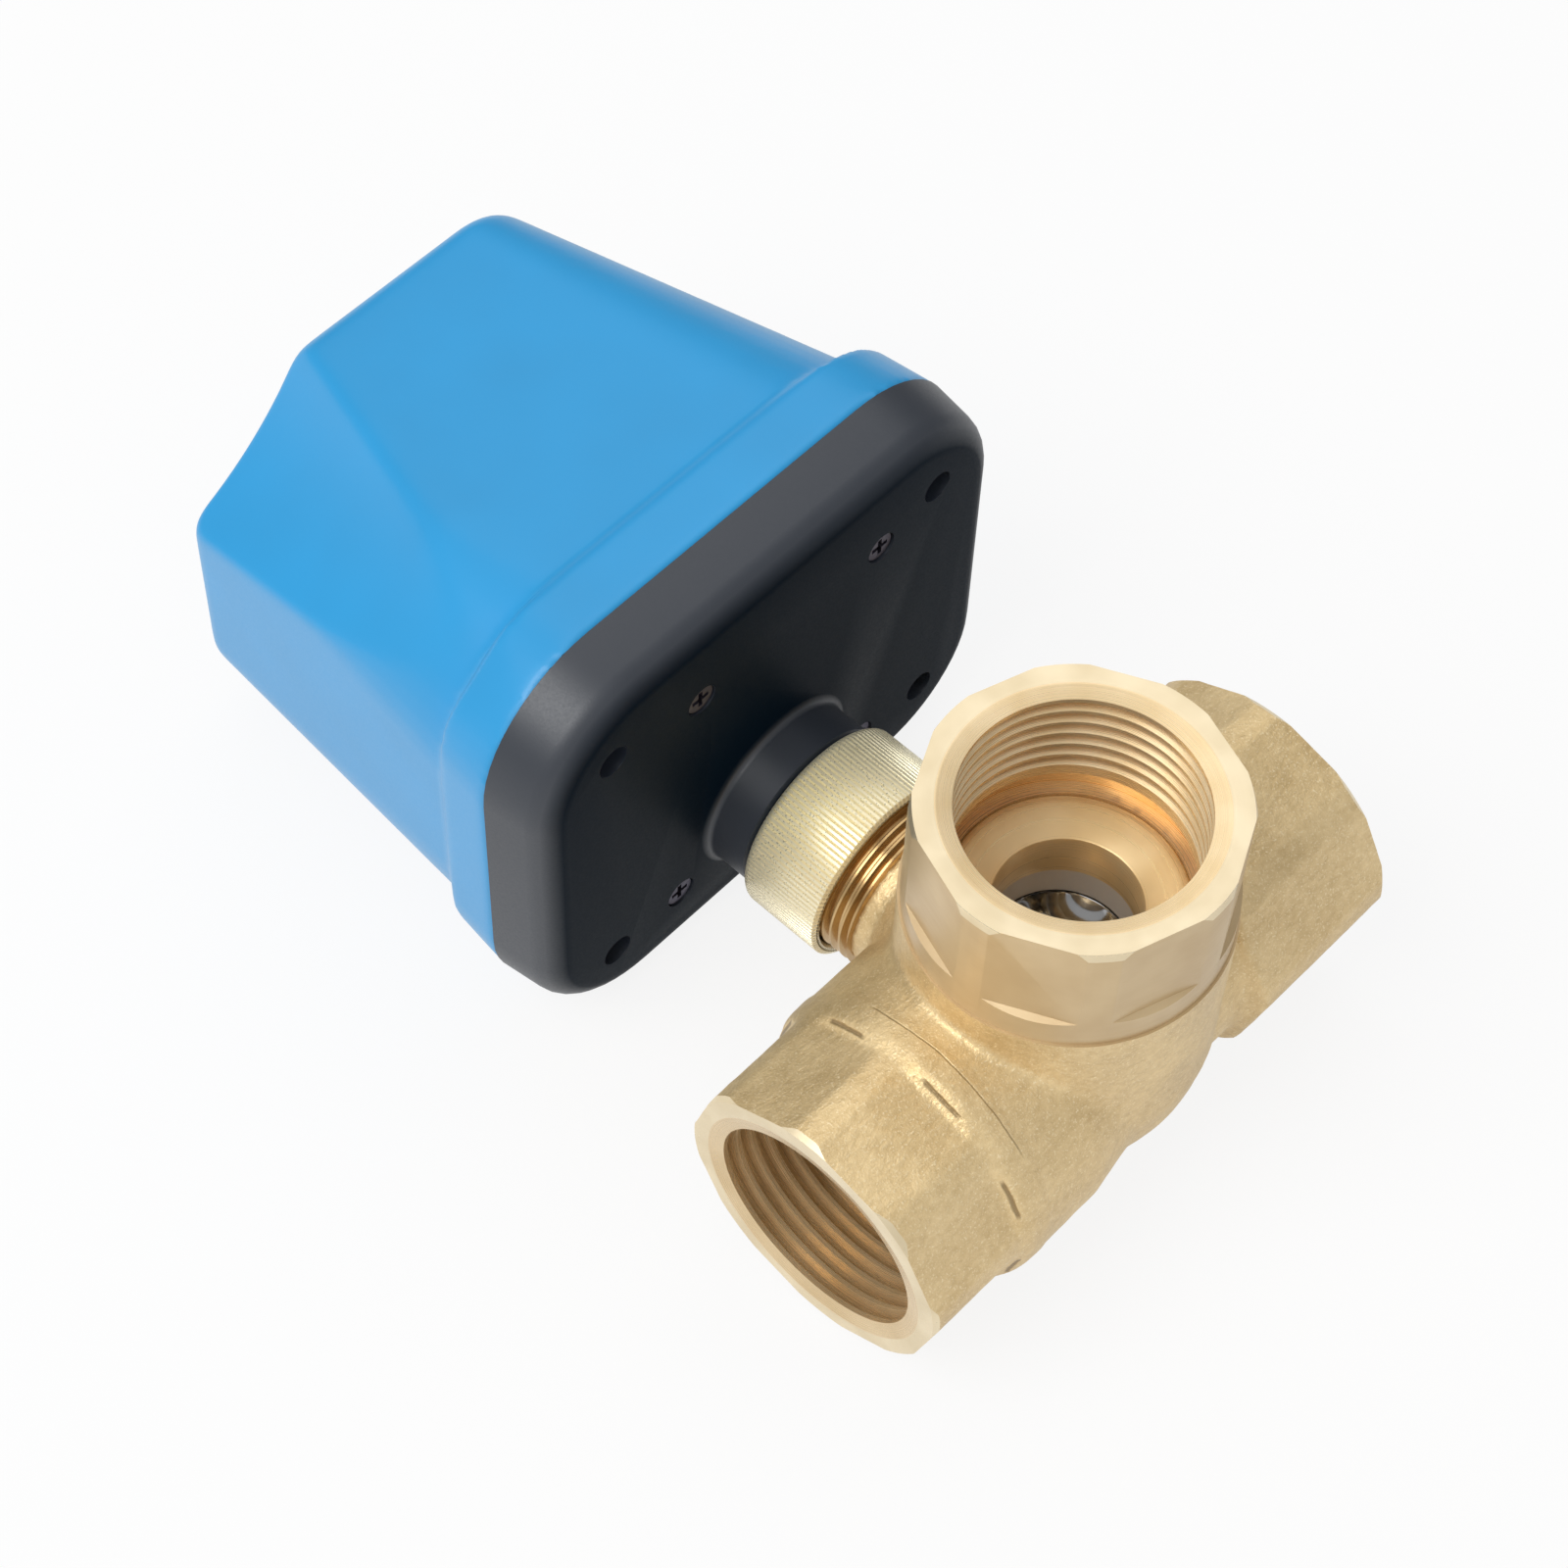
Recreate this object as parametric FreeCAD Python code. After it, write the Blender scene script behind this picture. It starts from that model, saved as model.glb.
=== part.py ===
# Three-way motorized ball valve, lying as photographed: branch port up, actuator to the side.
# Frame: origin at the centre of the branch port's mouth, +Z up out of the branch port,
# the run pipe along Y (near port at -Y), the stem and the actuator towards -X.
# Millimetres. A place along the stem line is given as its distance out from the run axis, so x = -out.
import FreeCAD, Part
import math
import os

V = FreeCAD.Vector

# Female pipe threads, the same in all three ports (G 1 parallel)
THREAD_MAJOR_R = 33.249 / 2
THREAD_MINOR_R = 30.291 / 2
THREAD_PITCH = 2.309
THREAD_TURNS = 6
MOUTH_CHAMFER_R = 17.0
CHAMFER_DEPTH = 0.5
RELIEF_R = 16.9
RELIEF_START = 16.3
RELIEF_END = 20.7

# Valve body
BRANCH_HEIGHT = 45.5
BRANCH_RIM_R = 19.9
BRANCH_BEVEL = 1.0
BRANCH_TURNED_R = 20.2
BRANCH_TURNED_LENGTH = 20.0
BRANCH_COLUMN_R = 20.5
BRANCH_FLAT_DISTANCE = 19.35
BRANCH_FLAT_ANGLE = -19.0
BRANCH_FLAT_LENGTH = 15.7
NEAR_LENGTH = 43.7
NEAR_FLAT_LENGTH = 15.7
NEAR_BARREL_R = 20.7
NEAR_BARREL_END = 14.0
NEAR_WAIST_R = 19.0
NEAR_WAIST_PLACE = 5.0
PARTING_STEP = 0.15
PARTING_PLACE = 24.0
FAR_LENGTH = 41.2
FAR_FLAT_LENGTH = 23.7
FAR_NECK_R = 17.5
RUN_RIM_R = 19.6
RUN_BEVEL = 0.7
RUN_R = 20.1
RUN_FLAT_DISTANCE = 19.2
RUN_FLAT_ANGLE = 29.0
FLAT_COUNT = 8
CHAMBER_OUTER_R = 20.2

# Ball, seats and ball chamber
BALL_R = 15.0
PORT_BORE_R = 9.25
CHAMBER_R = 15.6
SEAT_OUTER_R = 13.0
SEAT_BACK = 16.5
SEAT_CLEARANCE = 0.05
SEAT_BEVEL_GAP = 0.25
INSERT_R = 15.1
INSERT_TOP = 20.8
INSERT_DISH = 1.2
INSERT_EDGE = 0.6

# Stem
STEM_R = 4.5
STEM_CLEARANCE = 0.05
STEM_COLLAR_R = 6.5
STEM_COLLAR_START = 15.9
STEM_COLLAR_LENGTH = 2.0
WASHER_THICKNESS = 1.3
TANG_THICKNESS = 3.2
TANG_DEPTH = 3.4
SLOT_CLEARANCE = 0.1
STEM_END = 45.5
STEM_FLAT_START = 38.0
STEM_ACROSS_FLATS = 6.4
RING_SECTION_R = 0.75
RING_PLACES = (23.0, 27.0)
RING_GROOVE_WIDTH = 1.9

# Threaded neck on the body and the union nut
NECK_R = 12.0
NECK_END = 33.0
NECK_RELIEF_R = 10.9
NECK_RELIEF_START = 21.0
NECK_RELIEF_LENGTH = 2.6
NECK_PITCH = 1.5
NECK_THREAD_DEPTH = 0.85
NUT_START = 27.9
NUT_LENGTH = 12.8
NUT_R = 13.75
KNURL_DEPTH = 0.35
KNURL_TEETH = 120
NUT_EDGE = 1.1
NUT_LIP_LENGTH = 3.7
NUT_RUNNING = 0.1

# Black base plate with its collar and spigot
BASE_FACE = 47.8
BASE_THICKNESS = 9.5
BASE_LENGTH = 82.4
BASE_WIDTH = 67.6
BASE_CORNER_R = 18.0
BASE_EDGE_R = 3.6
BASE_DRAFT = 1.2
BASE_RISE = 13.0
BASE_FLOOR = 3.0
BASE_WALL = 3.4
COLLAR_R = 12.3
COLLAR_FOOT_R = 1.2
SPIGOT_R = 9.6
SPIGOT_GAP = 0.3
SPIGOT_BORE_R = 6.4
COLLAR_GAP = 0.3
RING_GROOVE_PLACE = 34.6
SNAP_RING_THICKNESS = 1.2
SNAP_RING_DEPTH = 1.0
SNAP_RING_R = 10.9
BUSH_R = 8.0
BUSH_START = 42.0

# Screws
COVER_SCREW_SPAN_Y = 57.3
COVER_SCREW_SPAN_Z = 44.0
SCREW_HEAD_R = 2.1
SCREW_HEAD_LENGTH = 1.6
SCREW_SHANK_R = 1.2
SCREW_CLEARANCE = 0.2
SCREW_SINK = 2.2
SCREW_LENGTH = 16.0
SCREW_BOSS_R = 4.0
DRIVE_SLOT = 0.7
FRAME_SCREW_PLACES = ((18.5, 19.0), (-13.5, 19.0), (-17.0, -21.5), (17.0, -21.5))
FRAME_SCREW_SINK = 0.3
POST_R = 3.4

# Blue cover
SKIRT_LENGTH = 8.8
SKIRT_DRAFT = 1.0
SKIRT_STEP = 0.6
COVER_WALL = 2.0
COVER_FOOT_CORNER_R = 21.5
COVER_END = 121.0
COVER_END_NEAR = 33.2
COVER_END_FAR = 25.3
COVER_END_TOP = 23.1
COVER_END_BOTTOM = 28.5
COVER_END_CORNER_R = 9.2
COVER_EDGE_R = 3.0
SCOOP_R = 50.0
SCOOP_CENTRE_Y = -55.6
SCOOP_CENTRE_Z = 64.8
SCOOP_LEAN_Y = -0.241
SCOOP_LEAN_Z = 0.282
COVER_BOSS_LENGTH = 16.0
GASKET_WIDTH = 1.4
GASKET_DEPTH = 1.0
GASKET_CLEARANCE = 0.05

# Cable inlet in the far side of the skirt
INLET_R = 3.1
GROMMET_NECK_R = 3.6
GROMMET_FLANGE_R = 4.3
GROMMET_FLANGE = 1.2
INLET_PLACE = 61.7

# Gear train
GEAR_MODULE = 0.7
PRESSURE_ANGLE = math.radians(20)
ADDENDUM = 0.8
DEDENDUM = 1.15
BACKLASH = 0.16
PINION_TEETH = 14
IDLER_TEETH = 28
OUTPUT_TEETH = 36
GEAR_THICKNESS = 3.0
OUTPUT_LAYER = 52.4
IDLER_LAYER = 56.2
MOTOR_RISE = 23.5
ARBOR_R = 1.5
GEAR_RUNNING = 0.05
ARBOR_SOCKET = 1.5

# Output shaft and cam
OUTPUT_R = 6.0
OUTPUT_TOP_R = 4.0
OUTPUT_START = 37.4
OUTPUT_END = 71.0
OUTPUT_RUNNING = 0.06
CAM_R = 6.8
CAM_LOBE_R = 8.7
CAM_LOBE_WIDTH = 5.0
CAM_THICKNESS = 5.0
CAM_GAP = 0.8

# Gear plate
PLATE_OUT = 61.2
PLATE_THICKNESS = 1.6
PLATE_MARGIN = 0.6
PLATE_TOP = 39.0
PLATE_BOTTOM = -13.5
PLATE_CORNER_R = 3.0

# Motor
MOTOR_R = 14.0
MOTOR_LENGTH = 15.5
MOTOR_WALL = 0.8
FLANGE_THICKNESS = 1.0
EAR_MARGIN = 1.4
EAR_R = 3.2
COIL_INNER_R = 8.5
COIL_OUTER_R = 12.8
ROTOR_R = 7.5
MOTOR_PLAY = 1.0
MOTOR_BEARING_R = 3.4

# Limit switches
SWITCH_LENGTH = 20.0
SWITCH_HEIGHT = 9.4
SWITCH_WIDTH = 6.4
SWITCH_FACE = 10.4
SWITCH_LOW = -10.0
BUTTON_R = 0.9
BUTTON_LENGTH = 3.0
BUTTON_STAND = 1.4
BUTTON_RUN = 1.0

# Circuit board
BOARD_OUT = 74.5
BOARD_THICKNESS = 1.6
BOARD_END = 2.0
BOARD_LOW = -11.5
BOARD_HIGH = -1.5
BOARD_POST_CLEARANCE = 0.5
BOARD_POST_R = 1.7
TERMINAL_LENGTH = 16.0
TERMINAL_WIDTH = 8.0
TERMINAL_HEIGHT = 9.0
TERMINAL_HOLE_R = 1.5
TERMINAL_SHIFT = -12.0
CAPACITOR_LENGTH = 14.0
CAPACITOR_WIDTH = 6.5
CAPACITOR_HEIGHT = 11.0
CAPACITOR_SHIFT = 12.0

# Places worked out from the sizes above
AXIS_Z = -BRANCH_HEIGHT
BASE_CENTRE_Z = AXIS_Z + BASE_RISE
SEAM = BASE_FACE + BASE_THICKNESS
FLOOR = BASE_FACE + BASE_FLOOR
PLATE_TOP_FACE = PLATE_OUT + PLATE_THICKNESS
THREAD_START = CHAMFER_DEPTH + 0.4
STEM_COLLAR_END = STEM_COLLAR_START + STEM_COLLAR_LENGTH
WASHER_END = STEM_COLLAR_END + WASHER_THICKNESS + 2 * STEM_CLEARANCE
PINION_R = GEAR_MODULE * PINION_TEETH / 2
IDLER_R = GEAR_MODULE * IDLER_TEETH / 2
GEAR_R = GEAR_MODULE * OUTPUT_TEETH / 2
MOTOR_TO_IDLER = PINION_R + IDLER_R
IDLER_TO_OUTPUT = PINION_R + GEAR_R
IDLER_Z = (IDLER_TO_OUTPUT ** 2 - MOTOR_TO_IDLER ** 2 + MOTOR_RISE ** 2) / (2 * MOTOR_RISE)
IDLER_Y = math.sqrt(IDLER_TO_OUTPUT ** 2 - IDLER_Z ** 2)
EAR_PLACE = MOTOR_R + SCREW_HEAD_R + EAR_MARGIN
BOARD_POST_PLACE = SWITCH_FACE + SWITCH_HEIGHT + BOARD_POST_CLEARANCE + BOARD_POST_R
BOARD_HALF_LENGTH = BOARD_POST_PLACE + BOARD_END
PLATE_HALF_LENGTH = BOARD_POST_PLACE + BOARD_POST_R + PLATE_MARGIN


def rod(start, end, radius, y=0.0, z=0.0):
    """A cylinder along the stem direction; y and z are measured from the stem axis."""
    return Part.makeCylinder(radius, end - start, V(-start, y, AXIS_Z + z), V(-1, 0, 0))


def tube(start, end, outer, inner, y=0.0, z=0.0):
    return rod(start, end, outer, y, z).cut(rod(start - 1, end + 1, inner, y, z))


def block(start, end, y0, y1, z0, z1):
    """A box; start and end lie along the stem direction, z is measured from the stem axis."""
    return Part.makeBox(end - start, y1 - y0, z1 - z0, V(-end, y0, AXIS_Z + z0))


def turned(profile, axis):
    """Turn a closed profile of (radius, distance) points about a line: 'up', 'near', 'far' or 'out'."""
    points = [V(r, 0, d) for r, d in profile]
    face = Part.Face(Part.makePolygon(points + [points[0]]))
    solid = face.revolve(V(0, 0, 0), V(0, 0, 1), 360)
    place = {
        "up": FreeCAD.Placement(),
        "near": FreeCAD.Placement(V(0, 0, AXIS_Z), FreeCAD.Rotation(V(1, 0, 0), 90)),
        "far": FreeCAD.Placement(V(0, 0, AXIS_Z), FreeCAD.Rotation(V(1, 0, 0), -90)),
        "out": FreeCAD.Placement(V(0, 0, AXIS_Z), FreeCAD.Rotation(V(0, 1, 0), -90)),
    }[axis]
    solid.Placement = place
    return Part.Solid(solid) if solid.ShapeType == "Shell" else solid


def fused(first, *others):
    return first.fuse(list(others)).removeSplitter()


def slotted_screw(head_start, length, y, z):
    """A screw that points along the stem direction, with a cross drive in its head."""
    head = rod(head_start, head_start + SCREW_HEAD_LENGTH, SCREW_HEAD_R, y, z)
    shank = rod(head_start + SCREW_HEAD_LENGTH, head_start + length, SCREW_SHANK_R, y, z)
    reach = SCREW_HEAD_R * 0.65
    half = DRIVE_SLOT / 2
    cross = block(head_start - 1, head_start + 0.9, y - reach, y + reach, z - half, z + half)
    cross = cross.fuse(block(head_start - 1, head_start + 0.9, y - half, y + half, z - reach, z + reach))
    return head.fuse(shank).removeSplitter().cut(cross)


def port_cutter(mouth, axis):
    """The threaded socket of one port, as a cutter; distance runs outwards along the port."""
    profile = [(0, mouth + 1), (MOUTH_CHAMFER_R, mouth + 1), (MOUTH_CHAMFER_R, mouth)]
    crest_half = THREAD_PITCH * 0.12
    profile.append((THREAD_MINOR_R, mouth - CHAMFER_DEPTH))
    for turn in range(THREAD_TURNS):
        middle = mouth - THREAD_START - THREAD_PITCH * (turn + 0.5)
        slope = THREAD_PITCH / 2 - crest_half
        profile.append((THREAD_MINOR_R, middle + slope))
        profile.append((THREAD_MAJOR_R, middle + crest_half))
        profile.append((THREAD_MAJOR_R, middle - crest_half))
        profile.append((THREAD_MINOR_R, middle - slope))
    profile.append((THREAD_MINOR_R, mouth - RELIEF_START))
    profile.append((RELIEF_R, mouth - RELIEF_START - 0.4))
    profile.append((RELIEF_R, mouth - RELIEF_END))
    profile.append((0, mouth - RELIEF_END))
    return turned(profile, axis)


def near_port():
    """Outer form of the near port: bevelled rim, eight flats, a fuller cast barrel, then a waist."""
    flats_end = NEAR_LENGTH - NEAR_FLAT_LENGTH
    profile = [
        (0, 0),
        (NEAR_WAIST_R, 0),
        (NEAR_WAIST_R, NEAR_WAIST_PLACE),
        (NEAR_BARREL_R - PARTING_STEP, NEAR_BARREL_END),
        (NEAR_BARREL_R - PARTING_STEP, PARTING_PLACE),
        (NEAR_BARREL_R, PARTING_PLACE),
        (NEAR_BARREL_R, flats_end - 0.8),
        (RUN_R, flats_end + 0.8),
        (RUN_R, NEAR_LENGTH - RUN_BEVEL),
        (RUN_RIM_R, NEAR_LENGTH),
        (0, NEAR_LENGTH),
    ]
    flats = flat_cutters(RUN_FLAT_DISTANCE, RUN_FLAT_ANGLE, flats_end, NEAR_LENGTH, "near")
    return turned(profile, "near").cut(flats)


def far_port():
    """Outer form of the far port: flats over its whole boss, which ends in a shoulder and a neck."""
    boss = FAR_LENGTH - FAR_FLAT_LENGTH
    profile = [
        (0, 0),
        (FAR_NECK_R, 0),
        (FAR_NECK_R, boss - 1.5),
        (RUN_R, boss),
        (RUN_R, FAR_LENGTH - RUN_BEVEL),
        (RUN_RIM_R, FAR_LENGTH),
        (0, FAR_LENGTH),
    ]
    flats = flat_cutters(RUN_FLAT_DISTANCE, RUN_FLAT_ANGLE, boss - 3, FAR_LENGTH, "far")
    return turned(profile, "far").cut(flats)


def flat_cutters(distance, angle, low, high, axis):
    """Eight blocks that leave the wrench flats between two distances along a port."""
    blocks = []
    for index in range(FLAT_COUNT):
        cutter = Part.makeBox(8, 30, high - low + 2, V(distance, -15, low))
        cutter.rotate(V(0, 0, 0), V(0, 0, 1), angle + 360 / FLAT_COUNT * index)
        blocks.append(cutter)
    group = Part.makeCompound(blocks)
    if axis == "near":
        group.rotate(V(0, 0, 0), V(1, 0, 0), 90)
        group.translate(V(0, 0, AXIS_Z))
    if axis == "far":
        group.rotate(V(0, 0, 0), V(0, 0, 1), -2 * angle)
        group.rotate(V(0, 0, 0), V(1, 0, 0), -90)
        group.translate(V(0, 0, AXIS_Z))
    return group


def ridge_profile(outer, depth, start, end, pitch):
    """Points of a row of V grooves cut into a turned surface, from start to end."""
    points = []
    count = int((end - start) / pitch)
    for turn in range(count):
        base = start + pitch * turn
        points.append((outer, base + 0.15))
        points.append((outer - depth, base + pitch / 2 - 0.15))
        points.append((outer - depth, base + pitch / 2 + 0.15))
        points.append((outer, base + pitch - 0.15))
    return points


def neck_profile():
    thread_start = NECK_RELIEF_START + NECK_RELIEF_LENGTH
    points = [(0, 12), (NECK_R + 1.2, 12), (NECK_R + 1.2, NECK_RELIEF_START - 2.0)]
    points.append((NECK_RELIEF_R, NECK_RELIEF_START))
    points.append((NECK_RELIEF_R, thread_start))
    points += ridge_profile(NECK_R, NECK_THREAD_DEPTH, thread_start, NECK_END - 0.3, NECK_PITCH)
    points.append((NECK_R - 0.5, NECK_END))
    points.append((0, NECK_END))
    return points


def make_body():
    column = [
        (0, AXIS_Z),
        (BRANCH_COLUMN_R, AXIS_Z),
        (BRANCH_COLUMN_R, -BRANCH_TURNED_LENGTH),
        (BRANCH_TURNED_R, -BRANCH_TURNED_LENGTH),
        (BRANCH_TURNED_R, -BRANCH_BEVEL),
        (BRANCH_RIM_R, 0),
        (0, 0),
    ]
    flats = flat_cutters(BRANCH_FLAT_DISTANCE, BRANCH_FLAT_ANGLE, -BRANCH_FLAT_LENGTH, 0, "up")
    branch = turned(column, "up").cut(flats)
    chamber = Part.makeSphere(CHAMBER_OUTER_R, V(0, 0, AXIS_Z))
    neck = turned(neck_profile(), "out")
    body = fused(near_port(), far_port(), chamber, branch, neck)
    body = body.cut(port_cutter(0, "up"))
    body = body.cut(port_cutter(NEAR_LENGTH, "near"))
    body = body.cut(port_cutter(FAR_LENGTH, "far"))
    side = V(0, 1, 0)
    tools = [
        Part.makeCylinder(INSERT_R, BRANCH_HEIGHT - 1, V(0, 0, AXIS_Z)),
        Part.makeSphere(CHAMBER_R, V(0, 0, AXIS_Z)),
        Part.makeCylinder(SEAT_OUTER_R + SEAT_CLEARANCE, 2 * SEAT_BACK, V(0, -SEAT_BACK, AXIS_Z), side),
        Part.makeCylinder(PORT_BORE_R, NEAR_LENGTH + FAR_LENGTH, V(0, -NEAR_LENGTH, AXIS_Z), side),
        rod(0, NECK_END + 1, STEM_R + STEM_CLEARANCE),
        rod(0, WASHER_END, STEM_COLLAR_R + 2 * STEM_CLEARANCE),
    ]
    return body.cut(tools)


def make_insert():
    """Brass ring screwed in behind the branch thread: it holds the branch seat on the ball."""
    top = -INSERT_TOP
    low = AXIS_Z + SEAT_BACK
    profile = [
        (PORT_BORE_R, low),
        (INSERT_R, low),
        (INSERT_R, top - INSERT_EDGE),
        (INSERT_R - INSERT_EDGE, top),
        (INSERT_R - INSERT_EDGE - 0.9, top),
        (PORT_BORE_R + 0.4, top - INSERT_DISH),
        (PORT_BORE_R, top - INSERT_DISH - 0.4),
    ]
    return turned(profile, "up")


def make_seat(axis, outer):
    """A seat ring: flat at the back, bevelled and hollowed by the ball in front."""
    centre = AXIS_Z if axis == "up" else 0
    profile = [
        (PORT_BORE_R, centre + PORT_BORE_R + SEAT_BEVEL_GAP),
        (outer, centre + outer + SEAT_BEVEL_GAP),
        (outer, centre + SEAT_BACK),
        (PORT_BORE_R, centre + SEAT_BACK),
    ]
    hollow = Part.makeSphere(BALL_R + SEAT_CLEARANCE, V(0, 0, AXIS_Z))
    return turned(profile, axis).cut(hollow)


def make_ball():
    """Ball with an angled passage from the branch side to the near port, and the stem's slot."""
    ball = Part.makeSphere(BALL_R, V(0, 0, AXIS_Z))
    up = Part.makeCylinder(PORT_BORE_R - 0.4, BALL_R + 1, V(0, 0, AXIS_Z), V(0, 0, 1))
    side = Part.makeCylinder(PORT_BORE_R - 0.4, BALL_R + 1, V(0, 0, AXIS_Z), V(0, -1, 0))
    elbow = Part.makeSphere(PORT_BORE_R - 0.4, V(0, 0, AXIS_Z))
    half = TANG_THICKNESS / 2 + SLOT_CLEARANCE
    slot_floor = STEM_COLLAR_START - TANG_DEPTH - SLOT_CLEARANCE
    slot = block(slot_floor, BALL_R + 1, -BALL_R, BALL_R, -half, half)
    return ball.cut([up.fuse([side, elbow]), slot])


def make_stem():
    collar = rod(STEM_COLLAR_START, STEM_COLLAR_END, STEM_COLLAR_R)
    half = TANG_THICKNESS / 2
    tang = block(STEM_COLLAR_START - TANG_DEPTH, STEM_COLLAR_START, -BALL_R / 3, BALL_R / 3, -half, half)
    shank = rod(STEM_COLLAR_END, STEM_FLAT_START, STEM_R)
    tip = rod(STEM_FLAT_START, STEM_END, STEM_R)
    flat = STEM_ACROSS_FLATS / 2
    tip = tip.common(block(STEM_FLAT_START, STEM_END, -STEM_R, STEM_R, -flat, flat))
    stem = fused(collar, tang, shank, tip)
    floor = STEM_R - 2 * RING_SECTION_R
    for place in RING_PLACES:
        half = RING_GROOVE_WIDTH / 2
        stem = stem.cut(tube(place - half, place + half, STEM_R + 1, floor))
    return stem


def make_o_rings():
    middle = STEM_R - RING_SECTION_R + STEM_CLEARANCE * 0.8
    rings = []
    for place in RING_PLACES:
        rings.append(Part.makeTorus(middle, RING_SECTION_R, V(-place, 0, AXIS_Z), V(1, 0, 0)))
    return Part.makeCompound(rings)


def make_washer():
    start = STEM_COLLAR_END + STEM_CLEARANCE
    return tube(start, start + WASHER_THICKNESS, STEM_COLLAR_R, STEM_R + STEM_CLEARANCE)


def make_nut():
    """Union nut: straight knurl outside, ridges that run in the neck's grooves, a lip at the back."""
    end = NUT_START + NUT_LENGTH
    lip = end - NUT_LIP_LENGTH
    thread_start = NECK_RELIEF_START + NECK_RELIEF_LENGTH
    minor = NECK_R - NECK_THREAD_DEPTH + NUT_RUNNING
    bore = [(NECK_R + 0.4, NUT_START)]
    for turn in range(int((NECK_END - 0.3 - thread_start) / NECK_PITCH)):
        middle = thread_start + NECK_PITCH * (turn + 0.5)
        if middle - NECK_PITCH / 2 > NUT_START + 0.3:
            bore.append((NECK_R + NUT_RUNNING, middle - NECK_PITCH / 2 + 0.25))
            bore.append((minor, middle - 0.08))
            bore.append((minor, middle + 0.08))
            bore.append((NECK_R + NUT_RUNNING, middle + NECK_PITCH / 2 - 0.25))
    root = NUT_R - KNURL_DEPTH
    profile = bore + [
        (NECK_R + NUT_RUNNING, lip),
        (SPIGOT_R + NUT_RUNNING, lip),
        (SPIGOT_R + NUT_RUNNING, end),
        (root - NUT_EDGE, end),
        (root, end - NUT_EDGE),
        (root, NUT_START + NUT_EDGE * 0.6),
        (root - NUT_EDGE * 0.6, NUT_START),
    ]
    core = turned(profile, "out")
    points = []
    for index in range(KNURL_TEETH):
        for share, radius in ((0.0, root), (0.25, NUT_R), (0.5, NUT_R), (0.75, root)):
            angle = 2 * math.pi * (index + share) / KNURL_TEETH
            y = radius * math.cos(angle)
            z = AXIS_Z + radius * math.sin(angle)
            points.append(V(-NUT_START - NUT_EDGE, y, z))
    face = Part.Face(Part.makePolygon(points + [points[0]]))
    band = face.extrude(V(-(NUT_LENGTH - 2.3 * NUT_EDGE), 0, 0))
    band = band.cut(rod(NUT_START, end, root - 0.3))
    return fused(core, band)


def make_snap_ring():
    """Split ring in the spigot's groove; it keeps the nut on the actuator."""
    start = RING_GROOVE_PLACE + 0.1
    ring = tube(start, start + SNAP_RING_THICKNESS, SNAP_RING_R, SPIGOT_R - SNAP_RING_DEPTH + 0.05)
    return ring.cut(block(start - 1, start + SNAP_RING_THICKNESS + 1, -1.2, 1.2, 0, SNAP_RING_R + 1))


def rounded_outline(out, near, far, bottom, top, radius):
    """A rounded rectangle across the stem direction; bottom and top are measured from the base's centre."""
    corners = (
        (far - radius, top - radius, 0),
        (near + radius, top - radius, 90),
        (near + radius, bottom + radius, 180),
        (far - radius, bottom + radius, 270),
    )
    edges = []
    ends = []
    for y, z, start in corners:
        a, b, c = [math.radians(start + turn) for turn in (0, 45, 90)]
        points = []
        for t in (a, b, c):
            points.append(V(-out, y + radius * math.cos(t), BASE_CENTRE_Z + z + radius * math.sin(t)))
        ends.append((points[0], points[2]))
        edges.append(Part.Arc(*points).toShape())
    wire = []
    for index in range(4):
        wire.append(edges[index])
        wire.append(Part.LineSegment(ends[index][1], ends[(index + 1) % 4][0]).toShape())
    return Part.Wire(wire)


def base_outline(out, inset):
    half_y = BASE_LENGTH / 2 - inset
    half_z = BASE_WIDTH / 2 - inset
    return rounded_outline(out, -half_y, half_y, -half_z, half_z, BASE_CORNER_R - inset)


def base_prism(start, end, inset):
    return Part.Face(base_outline(start, inset)).extrude(V(start - end, 0, 0))


def drafted_prism(start, end, start_inset, end_inset):
    outlines = [base_outline(start, start_inset), base_outline(end, end_inset)]
    return Part.makeLoft(outlines, True, True)


def cover_screw_places():
    half_y = COVER_SCREW_SPAN_Y / 2
    half_z = COVER_SCREW_SPAN_Z / 2
    return [(sy * half_y, BASE_RISE + sz * half_z) for sy in (-1, 1) for sz in (-1, 1)]


def frame_screw_places():
    return [(y, BASE_RISE + z) for y, z in FRAME_SCREW_PLACES]


def gasket_ring(width, start, end):
    inset = (BASE_WALL - width) / 2
    return base_prism(start, end, inset).cut(base_prism(start - 1, end + 1, inset + width))


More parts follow.
